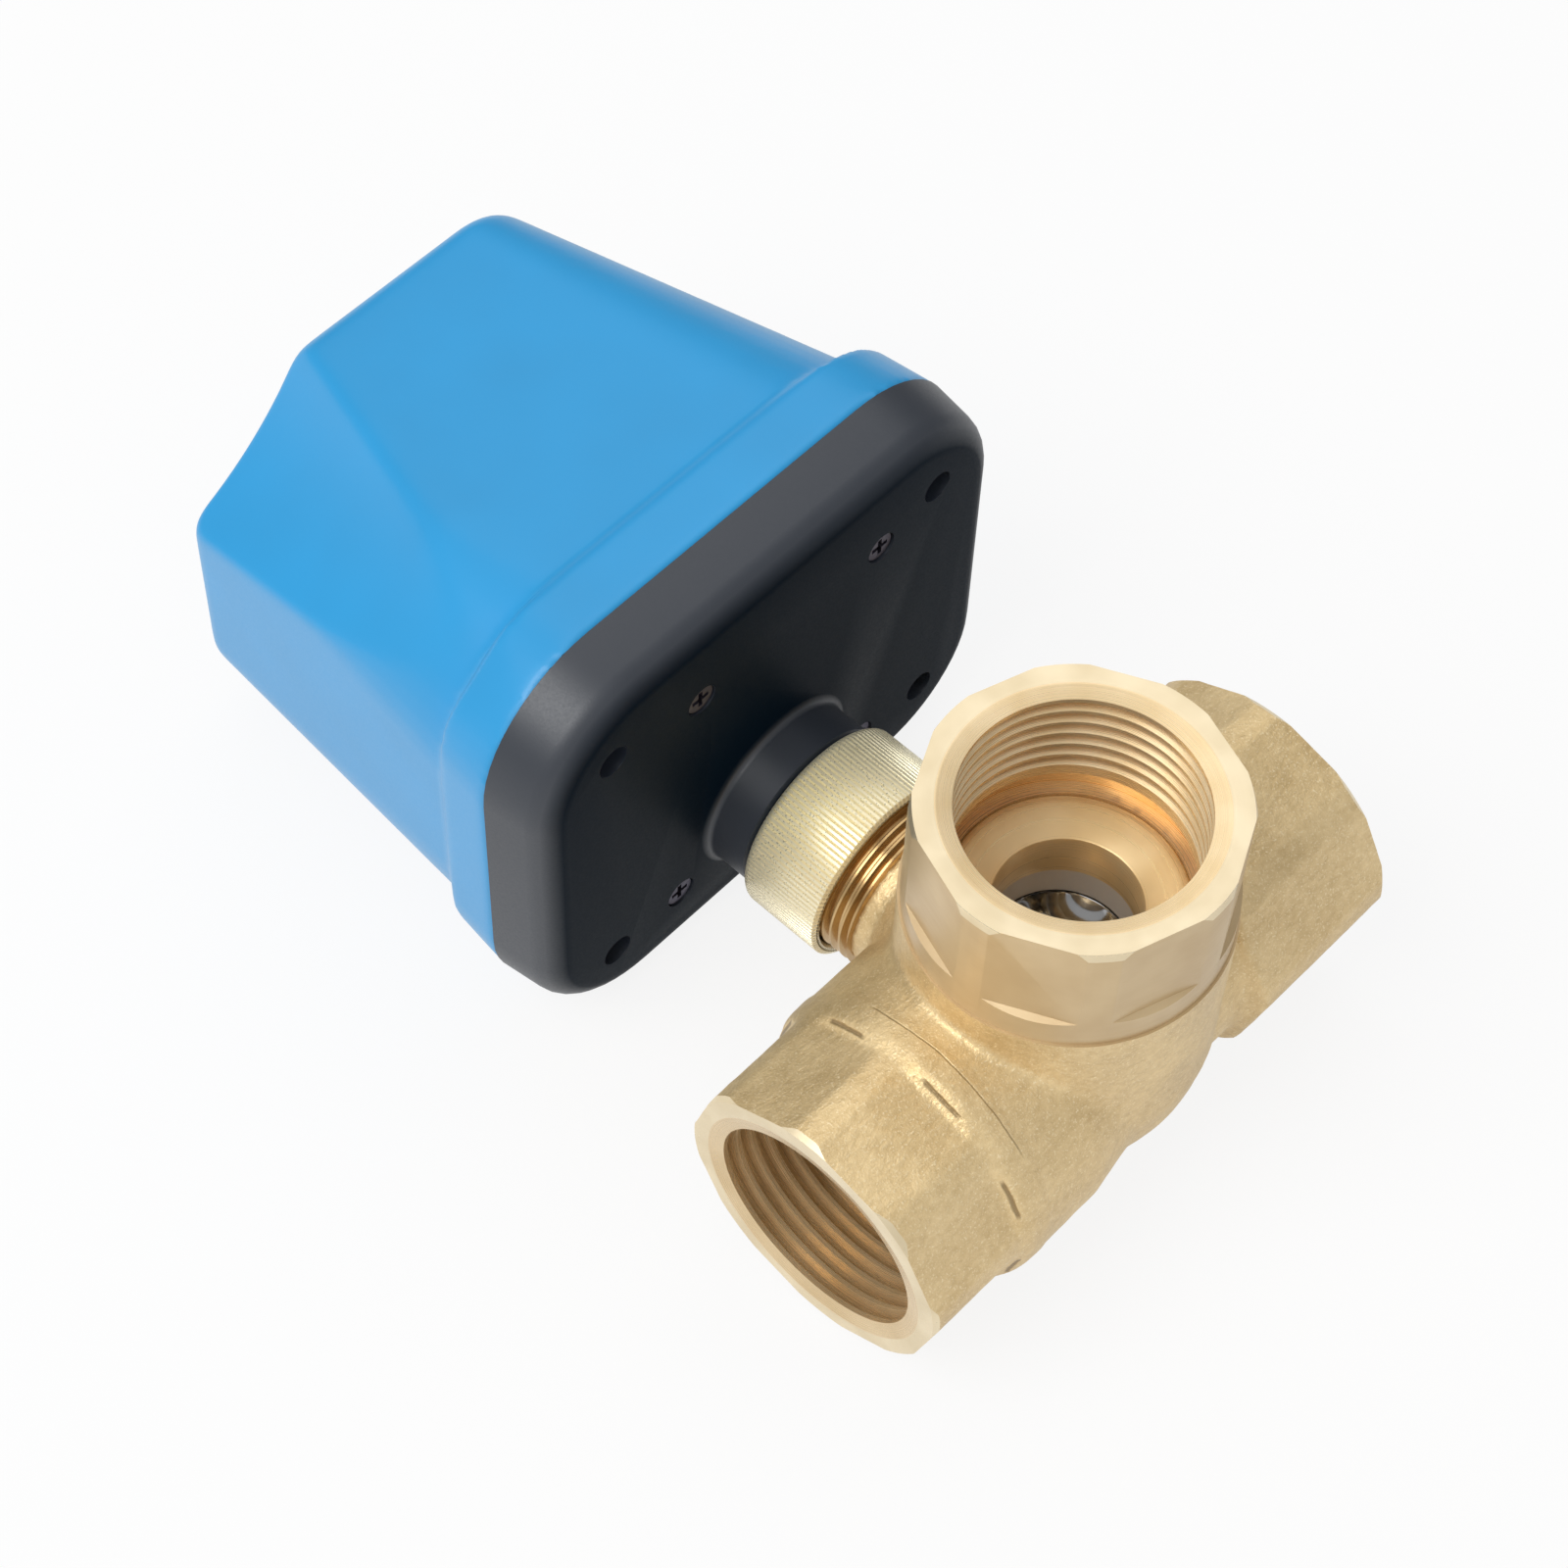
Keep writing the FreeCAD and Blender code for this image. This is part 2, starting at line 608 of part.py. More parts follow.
def make_base():
    """Black tray with the round collar and the spigot that carries the nut."""
    tray = drafted_prism(BASE_FACE, SEAM, BASE_DRAFT, 0)
    front = [e for e in tray.Edges if all(abs(v.X + BASE_FACE) < 1e-6 for v in e.Vertexes)]
    tray = tray.makeFillet(BASE_EDGE_R, front)
    tray = tray.cut(base_prism(FLOOR, SEAM + 1, BASE_WALL))
    additions = [rod(FLOOR - 0.5, SEAM, SCREW_BOSS_R, y, z) for y, z in cover_screw_places()]
    additions += [rod(FLOOR - 0.5, PLATE_OUT, POST_R, y, z) for y, z in frame_screw_places()]
    collar_end = NUT_START + NUT_LENGTH + COLLAR_GAP
    spigot_start = NECK_END + SPIGOT_GAP
    foot = BASE_FACE - COLLAR_FOOT_R
    collar = turned([
        (SPIGOT_BORE_R, spigot_start),
        (SPIGOT_R - 0.4, spigot_start),
        (SPIGOT_R, spigot_start + 0.4),
        (SPIGOT_R, collar_end),
        (COLLAR_R - 0.4, collar_end),
        (COLLAR_R, collar_end + 0.4),
        (COLLAR_R, foot),
        (COLLAR_R + COLLAR_FOOT_R, BASE_FACE),
        (COLLAR_R + COLLAR_FOOT_R, FLOOR),
        (SPIGOT_BORE_R, FLOOR),
    ], "out")
    base = fused(tray, collar, *additions)
    groove_end = RING_GROOVE_PLACE + SNAP_RING_THICKNESS + 0.2
    cuts = [
        rod(spigot_start, FLOOR + 1, SPIGOT_BORE_R),
        rod(BUSH_START, FLOOR + 1, BUSH_R),
        tube(RING_GROOVE_PLACE, groove_end, SPIGOT_R + 1, SPIGOT_R - SNAP_RING_DEPTH),
        gasket_ring(GASKET_WIDTH + 2 * GASKET_CLEARANCE, SEAM - GASKET_DEPTH, SEAM + 1),
        rod(FLOOR - ARBOR_SOCKET, FLOOR + 1, ARBOR_R, IDLER_Y, IDLER_Z),
    ]
    for y, z in cover_screw_places():
        seat = BASE_FACE + SCREW_SINK + SCREW_HEAD_LENGTH
        cuts.append(rod(BASE_FACE - 1, seat, SCREW_HEAD_R + SCREW_CLEARANCE, y, z))
        cuts.append(rod(BASE_FACE, SEAM + 1, SCREW_SHANK_R + SCREW_CLEARANCE, y, z))
    for y, z in frame_screw_places():
        seat = BASE_FACE + FRAME_SCREW_SINK + SCREW_HEAD_LENGTH
        cuts.append(rod(BASE_FACE - 1, seat, SCREW_HEAD_R + SCREW_CLEARANCE, y, z))
        cuts.append(rod(BASE_FACE, PLATE_OUT + 1, SCREW_SHANK_R + SCREW_CLEARANCE, y, z))
    return base.cut(cuts)


def make_gasket():
    return gasket_ring(GASKET_WIDTH, SEAM - GASKET_DEPTH, SEAM)


def scoop(extra):
    """The shallow hollow in the upper near corner of the cover's end, as a leaning round cutter."""
    lean = V(1, SCOOP_LEAN_Y, SCOOP_LEAN_Z)
    centre = V(-COVER_END, SCOOP_CENTRE_Y, AXIS_Z + SCOOP_CENTRE_Z)
    return Part.makeCylinder(SCOOP_R + extra, 90, centre - lean * 30, lean)


def hull_foot_outline(out, inset):
    """Outline of the cover where its taper starts on the skirt."""
    step = SKIRT_DRAFT + SKIRT_STEP + inset
    half_y = BASE_LENGTH / 2 - step
    half_z = BASE_WIDTH / 2 - step
    return rounded_outline(out, -half_y, half_y, -half_z, half_z, COVER_FOOT_CORNER_R - inset)


def tapered_hull(inset):
    """The cover above its skirt: a tapered box with rounded corners, drawn in by the inset."""
    high = rounded_outline(
        COVER_END - inset,
        -COVER_END_NEAR + inset,
        COVER_END_FAR - inset,
        -COVER_END_BOTTOM + inset,
        COVER_END_TOP - inset,
        COVER_END_CORNER_R - inset,
    )
    return Part.makeLoft([hull_foot_outline(SEAM + SKIRT_LENGTH, inset), high], True, True)


def make_cover():
    foot = SEAM + SKIRT_LENGTH
    hull = tapered_hull(0)
    end_edges = [e for e in hull.Edges if all(abs(v.X + COVER_END) < 1e-6 for v in e.Vertexes)]
    hull = hull.makeFillet(COVER_EDGE_R, end_edges)
    hull = hull.cut(scoop(0))
    skirt = drafted_prism(SEAM, foot, 0, SKIRT_DRAFT)
    outside = fused(skirt, hull)
    room = tapered_hull(COVER_WALL).cut(scoop(COVER_WALL))
    room = room.fuse(Part.Face(hull_foot_outline(SEAM - 1, COVER_WALL)).extrude(V(SEAM - 1 - foot, 0, 0)))
    cover = outside.cut(room)
    bosses = []
    for y, z in cover_screw_places():
        boss = rod(SEAM, SEAM + COVER_BOSS_LENGTH, SCREW_BOSS_R, y, z)
        web = block(SEAM + 1, SEAM + COVER_BOSS_LENGTH, min(y, y * 1.4), max(y, y * 1.4), z - 0.8, z + 0.8)
        bosses.append(boss.fuse(web).common(outside))
    cover = fused(cover, *bosses)
    for y, z in cover_screw_places():
        depth = BASE_FACE + SCREW_SINK + SCREW_LENGTH + 0.5
        cover = cover.cut(rod(SEAM - 1, depth, SCREW_SHANK_R, y, z))
    side = BASE_LENGTH / 2
    start = V(-INLET_PLACE, side - 2 * BASE_WALL, BASE_CENTRE_Z)
    cover = cover.cut(Part.makeCylinder(GROMMET_NECK_R, 3 * BASE_WALL, start, V(0, 1, 0)))
    return cover.cut(Part.makeCylinder(GROMMET_FLANGE_R + 0.2, BASE_WALL, start, V(0, 1, 0)))


def make_grommet():
    """Rubber grommet in the far side of the skirt, with an open hole for the lead."""
    side = BASE_LENGTH / 2
    inner = side - BASE_WALL
    profile = [
        (INLET_R, inner - GROMMET_FLANGE),
        (GROMMET_FLANGE_R, inner - GROMMET_FLANGE),
        (GROMMET_FLANGE_R, inner),
        (GROMMET_NECK_R, inner),
        (GROMMET_NECK_R, side),
        (GROMMET_FLANGE_R, side),
        (GROMMET_FLANGE_R - 0.5, side + GROMMET_FLANGE),
        (INLET_R, side + GROMMET_FLANGE),
    ]
    grommet = turned(profile, "far")
    grommet.translate(V(-INLET_PLACE, 0, BASE_RISE))
    return grommet


def make_cover_screws():
    start = BASE_FACE + SCREW_SINK
    return Part.makeCompound([slotted_screw(start, SCREW_LENGTH, y, z) for y, z in cover_screw_places()])


def make_frame_screws():
    start = BASE_FACE + FRAME_SCREW_SINK
    length = PLATE_TOP_FACE - start
    return Part.makeCompound([slotted_screw(start, length, y, z) for y, z in frame_screw_places()])


def gear(teeth, start, thickness, bore, y, z, turn):
    """Spur gear with involute flanks; turn is the angle of its first tooth, in radians."""
    pitch_r = GEAR_MODULE * teeth / 2
    base_r = pitch_r * math.cos(PRESSURE_ANGLE)
    tip_r = pitch_r + ADDENDUM * GEAR_MODULE
    root_r = pitch_r - DEDENDUM * GEAR_MODULE
    half = math.pi / (2 * teeth) - BACKLASH / (2 * pitch_r)
    at_pitch = math.tan(PRESSURE_ANGLE) - PRESSURE_ANGLE
    start_r = max(base_r, root_r)
    flank = []
    for step in range(5):
        radius = start_r + (tip_r - start_r) * step / 4
        alpha = math.acos(min(1.0, base_r / radius))
        flank.append((radius, half + at_pitch - (math.tan(alpha) - alpha)))
    if root_r < base_r:
        flank.insert(0, (root_r, flank[0][1]))
    points = []
    for index in range(teeth):
        middle = turn + 2 * math.pi * index / teeth
        for radius, angle in [(r, -a) for r, a in flank] + [(r, a) for r, a in reversed(flank)]:
            t = middle + angle
            points.append(V(-start, y + radius * math.cos(t), AXIS_Z + z + radius * math.sin(t)))
    wheel = Part.Face(Part.makePolygon(points + [points[0]])).extrude(V(-thickness, 0, 0))
    return wheel.cut(rod(start - 1, start + thickness + 1, bore, y, z))


def angle_to(from_y, from_z, to_y, to_z):
    return math.atan2(to_z - from_z, to_y - from_y)


def make_output_gear():
    turn = angle_to(0, 0, IDLER_Y, IDLER_Z)
    return gear(OUTPUT_TEETH, OUTPUT_LAYER, GEAR_THICKNESS, OUTPUT_R, 0, 0, turn)


def make_idler():
    """Compound idler: the small wheel drives the output gear, the large one meets the motor pinion."""
    small_turn = angle_to(IDLER_Y, IDLER_Z, 0, 0) + math.pi / PINION_TEETH
    small_start = OUTPUT_LAYER
    bore = ARBOR_R + GEAR_RUNNING
    small = gear(PINION_TEETH, small_start, IDLER_LAYER - small_start, bore, IDLER_Y, IDLER_Z, small_turn)
    large_turn = angle_to(IDLER_Y, IDLER_Z, 0, MOTOR_RISE) + math.pi / IDLER_TEETH
    large = gear(IDLER_TEETH, IDLER_LAYER, GEAR_THICKNESS, bore, IDLER_Y, IDLER_Z, large_turn)
    return small.fuse(large)


def make_idler_arbor():
    return rod(FLOOR - ARBOR_SOCKET, PLATE_TOP_FACE, ARBOR_R, IDLER_Y, IDLER_Z)


def make_motor_pinion():
    turn = angle_to(0, MOTOR_RISE, IDLER_Y, IDLER_Z)
    return gear(PINION_TEETH, IDLER_LAYER, GEAR_THICKNESS, ARBOR_R, 0, MOTOR_RISE, turn)


def make_output_shaft():
    """Shaft that takes the stem's flats, carries the output gear and ends under the cam."""
    shaft = rod(OUTPUT_START, OUTPUT_LAYER + GEAR_THICKNESS, OUTPUT_R)
    shaft = shaft.fuse(rod(OUTPUT_LAYER + GEAR_THICKNESS, OUTPUT_END, OUTPUT_TOP_R)).removeSplitter()
    flat = STEM_ACROSS_FLATS / 2 + STEM_CLEARANCE
    wide = STEM_R + STEM_CLEARANCE
    lead = rod(OUTPUT_START - 1, STEM_FLAT_START + 0.1, wide)
    socket = rod(STEM_FLAT_START, STEM_END + 0.2, wide)
    socket = socket.common(block(STEM_FLAT_START, STEM_END + 0.2, -wide, wide, -flat, flat))
    return shaft.cut([lead, socket])


def make_bush():
    return tube(BUSH_START, FLOOR, BUSH_R, OUTPUT_R + OUTPUT_RUNNING)


def make_cam():
    """Disc with two lobes a quarter turn apart: each one presses a switch at one end of the travel."""
    start = PLATE_TOP_FACE + CAM_GAP
    end = start + CAM_THICKNESS
    half = CAM_LOBE_WIDTH / 2
    up = block(start, end, -half, half, 0, CAM_LOBE_R)
    across = block(start, end, -CAM_LOBE_R, 0, -half, half)
    arms = up.fuse(across)
    lobes = rod(start, end, CAM_LOBE_R).common(arms)
    return fused(rod(start, end, CAM_R), lobes).cut(rod(start - 1, end + 1, OUTPUT_TOP_R))


def make_gear_plate():
    low = AXIS_Z + PLATE_BOTTOM - BASE_CENTRE_Z
    high = AXIS_Z + PLATE_TOP - BASE_CENTRE_Z
    outline = rounded_outline(PLATE_OUT, -PLATE_HALF_LENGTH, PLATE_HALF_LENGTH, low, high, PLATE_CORNER_R)
    plate = Part.Face(outline).extrude(V(-PLATE_THICKNESS, 0, 0))
    start = PLATE_OUT - 1
    end = PLATE_TOP_FACE + 1
    cuts = [
        rod(start, end, OUTPUT_TOP_R + OUTPUT_RUNNING),
        rod(start, end, ARBOR_R, IDLER_Y, IDLER_Z),
        rod(start, end, MOTOR_BEARING_R, 0, MOTOR_RISE),
    ]
    cuts += [rod(start, end, SCREW_SHANK_R, y, z) for y, z in frame_screw_places()]
    cuts += [rod(start, end, SCREW_SHANK_R, s * EAR_PLACE, MOTOR_RISE) for s in (-1, 1)]
    cuts += [rod(start, end, BOARD_POST_R * 0.6, s * BOARD_POST_PLACE, board_middle()) for s in (-1, 1)]
    return plate.cut(cuts)


def make_motor_flange():
    start = PLATE_TOP_FACE
    disc = rod(start, start + FLANGE_THICKNESS, MOTOR_R, 0, MOTOR_RISE)
    ears = [rod(start, start + FLANGE_THICKNESS, EAR_R, s * EAR_PLACE, MOTOR_RISE) for s in (-1, 1)]
    low, high = MOTOR_RISE - EAR_R, MOTOR_RISE + EAR_R
    bridge = block(start, start + FLANGE_THICKNESS, -EAR_PLACE, EAR_PLACE, low, high)
    bearing = rod(PLATE_OUT, start + FLANGE_THICKNESS, MOTOR_BEARING_R, 0, MOTOR_RISE)
    flange = fused(disc, bridge, bearing, *ears)
    cuts = [rod(PLATE_OUT - 1, start + 3, ARBOR_R + GEAR_RUNNING, 0, MOTOR_RISE)]
    for side in (-1, 1):
        cuts.append(rod(start - 1, start + 3, SCREW_SHANK_R + SCREW_CLEARANCE, side * EAR_PLACE, MOTOR_RISE))
    return flange.cut(cuts)


def motor_room():
    start = PLATE_TOP_FACE + FLANGE_THICKNESS
    return start, start + MOTOR_LENGTH


def make_motor_can():
    start, end = motor_room()
    can = rod(start, end, MOTOR_R, 0, MOTOR_RISE)
    can = can.cut(rod(start - 1, end - MOTOR_WALL, MOTOR_R - MOTOR_WALL, 0, MOTOR_RISE))
    boss = tube(end - 3.0, end - MOTOR_WALL, MOTOR_BEARING_R, ARBOR_R + GEAR_RUNNING, 0, MOTOR_RISE)
    return fused(can, boss)


def make_motor_coil():
    start, end = motor_room()
    return tube(start, end - MOTOR_WALL - MOTOR_PLAY, COIL_OUTER_R, COIL_INNER_R, 0, MOTOR_RISE)


def make_rotor():
    start, end = motor_room()
    return tube(start + MOTOR_PLAY, end - 3.0 - MOTOR_PLAY, ROTOR_R, ARBOR_R, 0, MOTOR_RISE)


def make_motor_shaft():
    end = motor_room()[1]
    return rod(IDLER_LAYER - 0.4, end - MOTOR_WALL - 0.3, ARBOR_R, 0, MOTOR_RISE)


def make_motor_screws():
    """Two short screws, heads on the cover side, through the motor's ears into the gear plate."""
    screws = []
    top = PLATE_TOP_FACE + FLANGE_THICKNESS
    for side in (-1, 1):
        head = rod(top, top + SCREW_HEAD_LENGTH, SCREW_HEAD_R, side * EAR_PLACE, MOTOR_RISE)
        shank = rod(PLATE_OUT, top, SCREW_SHANK_R, side * EAR_PLACE, MOTOR_RISE)
        screws.append(head.fuse(shank).removeSplitter())
    return Part.makeCompound(screws)


def make_switch(side):
    """Snap switch standing on the gear plate, its button hole facing the cam."""
    start = PLATE_TOP_FACE
    near, far = sorted((side * SWITCH_FACE, side * (SWITCH_FACE + SWITCH_HEIGHT)))
    case = block(start, start + SWITCH_WIDTH, near, far, SWITCH_LOW, SWITCH_LOW + SWITCH_LENGTH)
    inward = V(-(start + SWITCH_WIDTH / 2), side * (SWITCH_FACE - 1), AXIS_Z)
    depth = BUTTON_LENGTH - BUTTON_STAND + BUTTON_RUN + 1
    return case.cut(Part.makeCylinder(BUTTON_R + GEAR_RUNNING, depth, inward, V(0, side, 0)))


def make_button(side):
    tip = V(-(PLATE_TOP_FACE + SWITCH_WIDTH / 2), side * (SWITCH_FACE - BUTTON_STAND), AXIS_Z)
    return Part.makeCylinder(BUTTON_R, BUTTON_LENGTH, tip, V(0, side, 0))


def board_middle():
    return (BOARD_LOW + BOARD_HIGH) / 2


def make_board():
    half = BOARD_HALF_LENGTH
    board = block(BOARD_OUT, BOARD_OUT + BOARD_THICKNESS, -half, half, BOARD_LOW, BOARD_HIGH)
    holes = []
    for side in (-1, 1):
        holes.append(rod(BOARD_OUT - 1, BOARD_OUT + 3, BOARD_POST_R * 0.6, side * BOARD_POST_PLACE, board_middle()))
    return board.cut(holes)


def make_board_posts():
    posts = []
    for side in (-1, 1):
        y = side * BOARD_POST_PLACE
        post = rod(PLATE_TOP_FACE, BOARD_OUT, BOARD_POST_R, y, board_middle())
        peg = rod(PLATE_OUT, BOARD_OUT + BOARD_THICKNESS + 0.4, BOARD_POST_R * 0.6, y, board_middle())
        posts.append(post.fuse(peg).removeSplitter())
    return Part.makeCompound(posts)


def make_terminal_block():
    start = BOARD_OUT + BOARD_THICKNESS
    half_y = TERMINAL_LENGTH / 2
    half_z = TERMINAL_WIDTH / 2
    y = TERMINAL_SHIFT
    z = board_middle()
    case = block(start, start + TERMINAL_HEIGHT, y - half_y, y + half_y, z - half_z, z + half_z)
    holes = []
    for index in (-1, 0, 1):
        place = y + index * TERMINAL_LENGTH / 3
        holes.append(rod(start + TERMINAL_HEIGHT - 4, start + TERMINAL_HEIGHT + 1, TERMINAL_HOLE_R, place, z))
    return case.cut(holes)


def make_capacitor():
    start = BOARD_OUT + BOARD_THICKNESS
    half_y = CAPACITOR_LENGTH / 2
    half_z = CAPACITOR_WIDTH / 2
    y = CAPACITOR_SHIFT
    z = board_middle()
    case = block(start, start + CAPACITOR_HEIGHT, y - half_y, y + half_y, z - half_z, z + half_z)
    upright = [e for e in case.Edges if abs(e.Vertexes[0].X - e.Vertexes[1].X) > 1]
    return case.makeFillet(1.0, upright)


PIECES = {
    "valve_body": make_body,
    "branch_insert": make_insert,
    "branch_seat": lambda: make_seat("up", INSERT_R),
    "near_seat": lambda: make_seat("near", SEAT_OUTER_R),
    "far_seat": lambda: make_seat("far", SEAT_OUTER_R),
    "ball": make_ball,
    "stem": make_stem,
    "stem_o_rings": make_o_rings,
    "thrust_washer": make_washer,
    "union_nut": make_nut,
    "nut_snap_ring": make_snap_ring,
    "base_plate": make_base,
    "cover_gasket": make_gasket,
    "cover": make_cover,
    "cable_grommet": make_grommet,
    "cover_screws": make_cover_screws,
    "frame_screws": make_frame_screws,
    "output_bush": make_bush,
    "output_shaft": make_output_shaft,
    "output_gear": make_output_gear,
    "switch_cam": make_cam,
    "idler_gear": make_idler,
    "idler_arbor": make_idler_arbor,
    "gear_plate": make_gear_plate,
    "motor_flange": make_motor_flange,
    "motor_can": make_motor_can,
    "motor_coil": make_motor_coil,
    "motor_rotor": make_rotor,
    "motor_shaft": make_motor_shaft,
    "motor_pinion": make_motor_pinion,
    "motor_screws": make_motor_screws,
    "near_switch": lambda: make_switch(-1),
    "far_switch": lambda: make_switch(1),
    "near_switch_button": lambda: make_button(-1),
    "far_switch_button": lambda: make_button(1),
    "circuit_board": make_board,
    "board_posts": make_board_posts,
    "terminal_block": make_terminal_block,
    "capacitor": make_capacitor,
}

os.makedirs("parts", exist_ok=True)
for name, make in PIECES.items():
    make().exportStep("parts/" + name + ".step")
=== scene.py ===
import math

import bpy
from mathutils import Matrix, Vector


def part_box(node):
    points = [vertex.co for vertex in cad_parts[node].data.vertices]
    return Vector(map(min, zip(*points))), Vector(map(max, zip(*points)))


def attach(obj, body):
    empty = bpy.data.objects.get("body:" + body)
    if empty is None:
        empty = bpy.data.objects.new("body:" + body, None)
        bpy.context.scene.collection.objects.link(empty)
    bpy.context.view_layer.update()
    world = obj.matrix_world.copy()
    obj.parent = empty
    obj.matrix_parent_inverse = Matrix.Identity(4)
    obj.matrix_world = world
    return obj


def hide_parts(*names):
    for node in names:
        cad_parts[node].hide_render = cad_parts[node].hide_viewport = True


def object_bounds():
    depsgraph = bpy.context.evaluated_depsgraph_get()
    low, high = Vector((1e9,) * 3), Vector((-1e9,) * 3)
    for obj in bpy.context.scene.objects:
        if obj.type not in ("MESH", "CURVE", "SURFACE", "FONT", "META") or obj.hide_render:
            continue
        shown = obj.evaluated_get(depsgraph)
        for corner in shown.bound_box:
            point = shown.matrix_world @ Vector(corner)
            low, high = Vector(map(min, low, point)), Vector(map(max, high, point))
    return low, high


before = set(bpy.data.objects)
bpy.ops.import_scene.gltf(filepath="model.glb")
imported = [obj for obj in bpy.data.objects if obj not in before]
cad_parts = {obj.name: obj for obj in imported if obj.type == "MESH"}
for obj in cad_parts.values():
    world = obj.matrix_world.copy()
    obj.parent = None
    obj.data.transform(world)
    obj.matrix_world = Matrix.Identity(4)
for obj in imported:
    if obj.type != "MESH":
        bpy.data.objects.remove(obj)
cad_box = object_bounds()

# Places read from the frame, in metres. The run pipe lies along Y, the branch points up Z, and the
# stem and the actuator lie towards -X. "Out" is a distance from the run axis towards -X.
MM = 0.001
body_low, body_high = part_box("valve_body")
base_low, base_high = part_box("base_plate")
cover_low, cover_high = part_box("cover")
nut_low, nut_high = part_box("union_nut")
AXIS_Z = (nut_low.z + nut_high.z) / 2 / MM
BASE_Z = (base_low.z + base_high.z) / 2 / MM
NEAR_END = -body_low.y / MM
FAR_END = body_high.y / MM
BASE_HALF_Y = base_high.y / MM
BASE_HALF_Z = (base_high.z - base_low.z) / 2 / MM
SEAM_OUT = -cover_high.x / MM
COVER_END = -cover_low.x / MM
NUT_START = -nut_high.x / MM
NUT_END = -nut_low.x / MM

# Pipe threads of the three ports, in millimetres
THREAD_MINOR = 15.15
THREAD_MAJOR = 16.62
THREAD_PITCH = 2.309
THREAD_TURNS = 6
THREAD_START = 0.9
RELIEF_START = 16.3
RELIEF_END = 20.7
MOUTH_CHAMFER = 17.0

# Brass body, in millimetres
FLAT_COUNT = 8
BRANCH_R = 20.2
BRANCH_FLAT = 19.35
BRANCH_FLAT_TURN = -19.0
BRANCH_FLAT_LENGTH = 15.7
BRANCH_TURNED = 20.0
COLUMN_R = 20.55
RUN_R = 20.15
RUN_FLAT = 19.2
RUN_FLAT_TURN = 29.0
NEAR_BARREL = 20.75
NEAR_FLAT_LENGTH = 15.7
NEAR_WAIST = 19.0
FAR_FLAT_LENGTH = 23.7
FAR_NECK = 17.5
PORT_BORE = 9.25
UNDERCUT_R = 16.9
CHAMBER_R = 20.2
CHAMBER_BORE = 15.8
NECK_R = 13.2
NECK_GROOVES = 6
NECK_PITCH = 1.5
NECK_THREAD = 23.6
NECK_END = 33.0
INSERT_R = 15.1
BALL_R = 14.93
BALL_BORE = 8.85
CAST_VOXEL = 0.5

# Lines of the casting round the near port: distances from the branch in millimetres, angles in degrees
DENT_PLACE = 28.2
DENT_TURN = 16
SEAM_PLACE = 24.5
SEAM_MIDDLE = 11.5

# Union nut, in millimetres
NUT_TEETH = 120
NUT_R = 13.75
NUT_ROOT = 13.4
NUT_BORE = 12.25
NUT_LIP_R = 9.9
NUT_LIP = 3.6

# Cover and base, in millimetres
BASE_CORNER = 18.0
BASE_DRAFT = 1.2
BASE_EDGE = 3.6
BASE_FACE = 47.8
BASE_FLOOR = 50.8
BASE_WALL = 3.4
PLATE_SEAT = 61.2
GASKET_DEPTH = 1.05
HEAD_HOLE = 2.3
SHANK_HOLE = 1.4
BOSS_R = 4.0
POST_R = 3.4
COVER_SCREWS = [(y, z) for y in (-28.65, 28.65) for z in (-9.0, 35.0)]
FRAME_SCREWS = [(18.5, 32.0), (-13.5, 32.0), (-17.0, -8.5), (17.0, -8.5)]
IDLER_ARBOR = (10.928, 13.668)
SKIRT_LENGTH = 8.8
SKIRT_DRAFT = 1.0
SKIRT_STEP = 0.6
COVER_WALL = 2.0
COVER_VOXEL = 0.7
HULL_CORNER = 21.5
END_CORNER = 9.2
END_SPAN = (-33.2, 25.3, -28.5, 23.1)
ROOM_SPAN = (-31.2, 23.3, -26.5, 21.1)
HOLLOW_R = 50.0
HOLLOW_CENTRE = Vector((-COVER_END, -55.6, AXIS_Z + 64.8))
HOLLOW_LEAN = Vector((1, -0.241, 0.282)).normalized()
INLET_OUT = 61.7
GROOVE_INSET = 0.95
LAND_INSET = 2.45
SHAFT_BORE = 6.4
SPIGOT_R = 9.6
COLLAR_R = 12.3

# How the pieces are made: steps of the lathe, outer radius of the dies in millimetres, and the distances
# in metres below which points are merged or count as being at one place
LATHE_STEPS = 128
DIE_R = 40
MERGE = 0.002 * MM
SAME_PLACE = 1e-6


# Modelling: selection, the lathe, joining and cutting, dies and finishing


def select_only(piece):
    bpy.ops.object.select_all(action="DESELECT")
    piece.select_set(True)
    bpy.context.view_layer.objects.active = piece


def edit(piece):
    select_only(piece)
    bpy.ops.object.mode_set(mode="EDIT")
    bpy.ops.mesh.select_all(action="SELECT")


def leave():
    bpy.ops.object.mode_set(mode="OBJECT")


def fix_place(piece):
    """Put the piece's place into its mesh, so that its object sits at the origin."""
    select_only(piece)
    bpy.ops.object.transform_apply(location=True, rotation=True, scale=True)


# Each axis: centre line's point, direction, and the radial direction that a profile is drawn in
AXES = {
    "up": (Vector((0, 0, 0)), Vector((0, 0, 1)), Vector((1, 0, 0))),
    "near": (Vector((0, 0, AXIS_Z)), Vector((0, -1, 0)), Vector((1, 0, 0))),
    "far": (Vector((0, 0, AXIS_Z)), Vector((0, 1, 0)), Vector((1, 0, 0))),
    "out": (Vector((0, 0, AXIS_Z)), Vector((-1, 0, 0)), Vector((0, 0, 1))),
}


